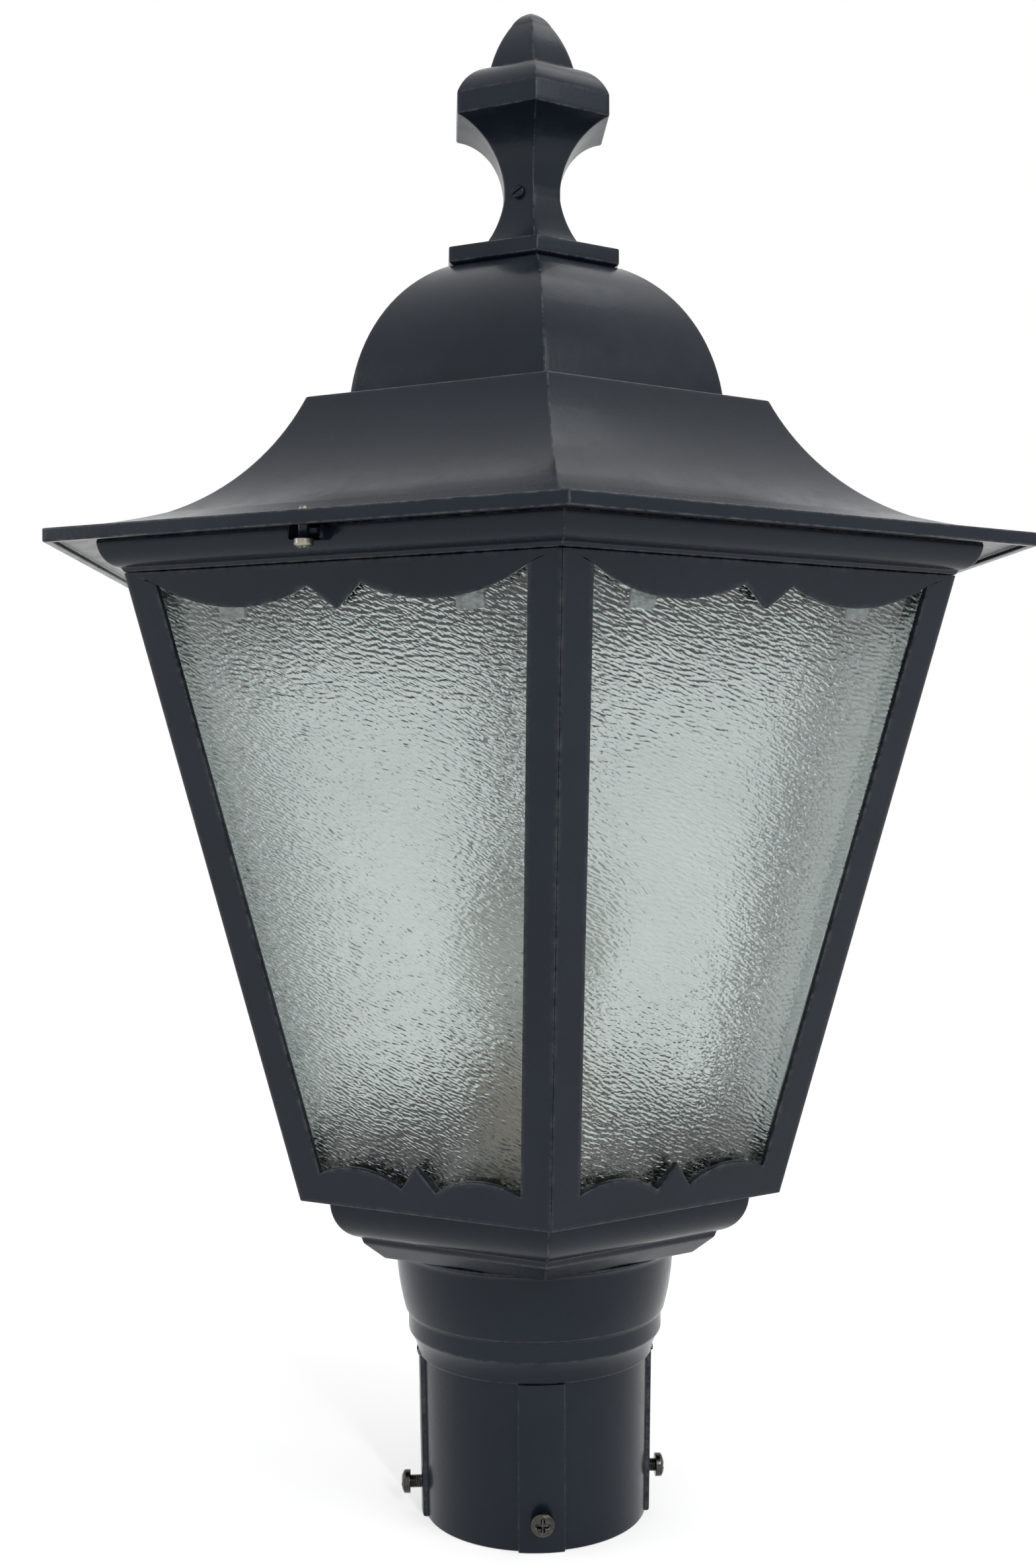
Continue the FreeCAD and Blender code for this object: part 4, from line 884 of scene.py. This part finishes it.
STAYING = {
    STEEL: ["tray_bolts", "tray_nuts", "foot_screws", "head_screws", "floor_screws", "lamp_bracket",
            "roof_bridge", "finial_rod", "rod_nut", "rod_washer", "lampholder_nut"],
    PAINT: ["finial_set_screw"],
    SPRING: ["pane_clips"],
    BRASS: ["earth_screw", "lampholder_sleeve", "lampholder_contact"],
    RUBBER: ["roof_gasket", "cable_grommet"],
    CREAM: ["terminal_block"],
}
for finish, names in STAYING.items():
    for name in names:
        frame["nodes"][name].data.materials.clear()
        frame["nodes"][name].data.materials.append(finish)

# ---------------------------------------------------------------- studio


def background_rays(tree):
    """1 for the rays that show the background: the camera's, and those mirrored or let through."""
    path = node(tree, "ShaderNodeLightPath").outputs
    mirrored = node(tree, "ShaderNodeMath", {0: path["Is Glossy Ray"], 1: path["Is Transmission Ray"]},
                    operation="MAXIMUM").outputs[0]
    return node(tree, "ShaderNodeMath", {0: path["Is Camera Ray"], 1: mirrored},
                operation="MAXIMUM").outputs[0]


def floor():
    """Pale floor that reads white where it is seen, mirrored or let through, and keeps the shadow."""
    size = 8.0
    mesh = bpy.data.meshes.new("studio_floor")
    mesh.from_pydata([(-size, -size, 0), (size, -size, 0), (size, size, 0), (-size, size, 0)], [],
                     [(0, 1, 2, 3)])
    made, tree, shader = material_of("studio_floor", Roughness=0.9)
    place = node(tree, "ShaderNodeTexCoord").outputs["Object"]
    tree.links.new(between(tree, noise(tree, place, 3, 3), (0.86, 0.86, 0.86, 1), (0.9, 0.9, 0.9, 1)),
                   shader.inputs["Base Color"])
    shine = times(tree, background_rays(tree), 0.5)
    glow = node(tree, "ShaderNodeEmission", {"Color": (1, 1, 1, 1), "Strength": shine})
    both = node(tree, "ShaderNodeAddShader", {0: shader.outputs[0], 1: glow.outputs[0]})
    tree.links.new(both.outputs[0], tree.nodes["Material Output"].inputs["Surface"])
    mesh.materials.append(made)
    ground = bpy.data.objects.new("studio_floor", mesh)
    bpy.context.scene.collection.objects.link(ground)


def world():
    """White surround where it is seen, mirrored or let through; softer for the light that it gives."""
    made = bpy.data.worlds.new("studio")
    bpy.context.scene.world = made
    made.use_nodes = True
    tree = made.node_tree
    tree.links.new(spread(tree, background_rays(tree), 0, 1, 0.55, 1.0),
                   tree.nodes["Background"].inputs["Strength"])
    tree.nodes["Background"].inputs["Color"].default_value = (1, 1, 1, 1)


def lamp(name, place, aim_at, size, power, colour=(1, 1, 1)):
    """Rectangular studio lamp."""
    data = bpy.data.lights.new(name, "AREA")
    data.shape, data.size, data.size_y = "RECTANGLE", *size
    data.energy, data.color = power, colour
    made = bpy.data.objects.new(name, data)
    bpy.context.scene.collection.objects.link(made)
    made.location = place
    made.rotation_euler = (Vector(aim_at) - Vector(place)).to_track_quat("-Z", "Y").to_euler()


def camera():
    """Camera of the photograph: a little left of the front corner, level with the window's middle."""
    place = (-0.0385, -0.7087, 0.295)
    heading, down, roll = (math.radians(value) for value in (3.44, 0.94, -0.17))
    data = bpy.data.cameras.new("photo_camera")
    data.sensor_width, data.lens, data.shift_x = 36.0, 41.69, -0.0164
    made = bpy.data.objects.new("photo_camera", data)
    bpy.context.scene.collection.objects.link(made)
    ahead = Vector((math.sin(heading) * math.cos(down), math.cos(heading) * math.cos(down),
                    -math.sin(down)))
    made.rotation_mode = "QUATERNION"
    facing = ahead.to_track_quat("-Z", "Y").to_matrix() @ Matrix.Rotation(roll, 3, "Z")
    made.rotation_quaternion = facing.to_quaternion()
    made.location = place
    data.clip_start = 0.01
    bpy.context.scene.camera = made


floor()
world()
middle = (0, 0, 0.3)
lamp("key", (1.3, -1.1, 1.5), middle, (0.9, 0.9), 8)
lamp("side", (-1.6, -0.3, 0.8), middle, (0.5, 1.2), 4)
lamp("above", (0.5, 0.27, 1.7), middle, (0.5, 0.5), 1.0)
lamp("front strip", (0.4, -1.45, 0.95), (0, 0, 0.5), (0.06, 0.6), 5)
camera()
scene = bpy.context.scene
scene.view_settings.view_transform = "Standard"
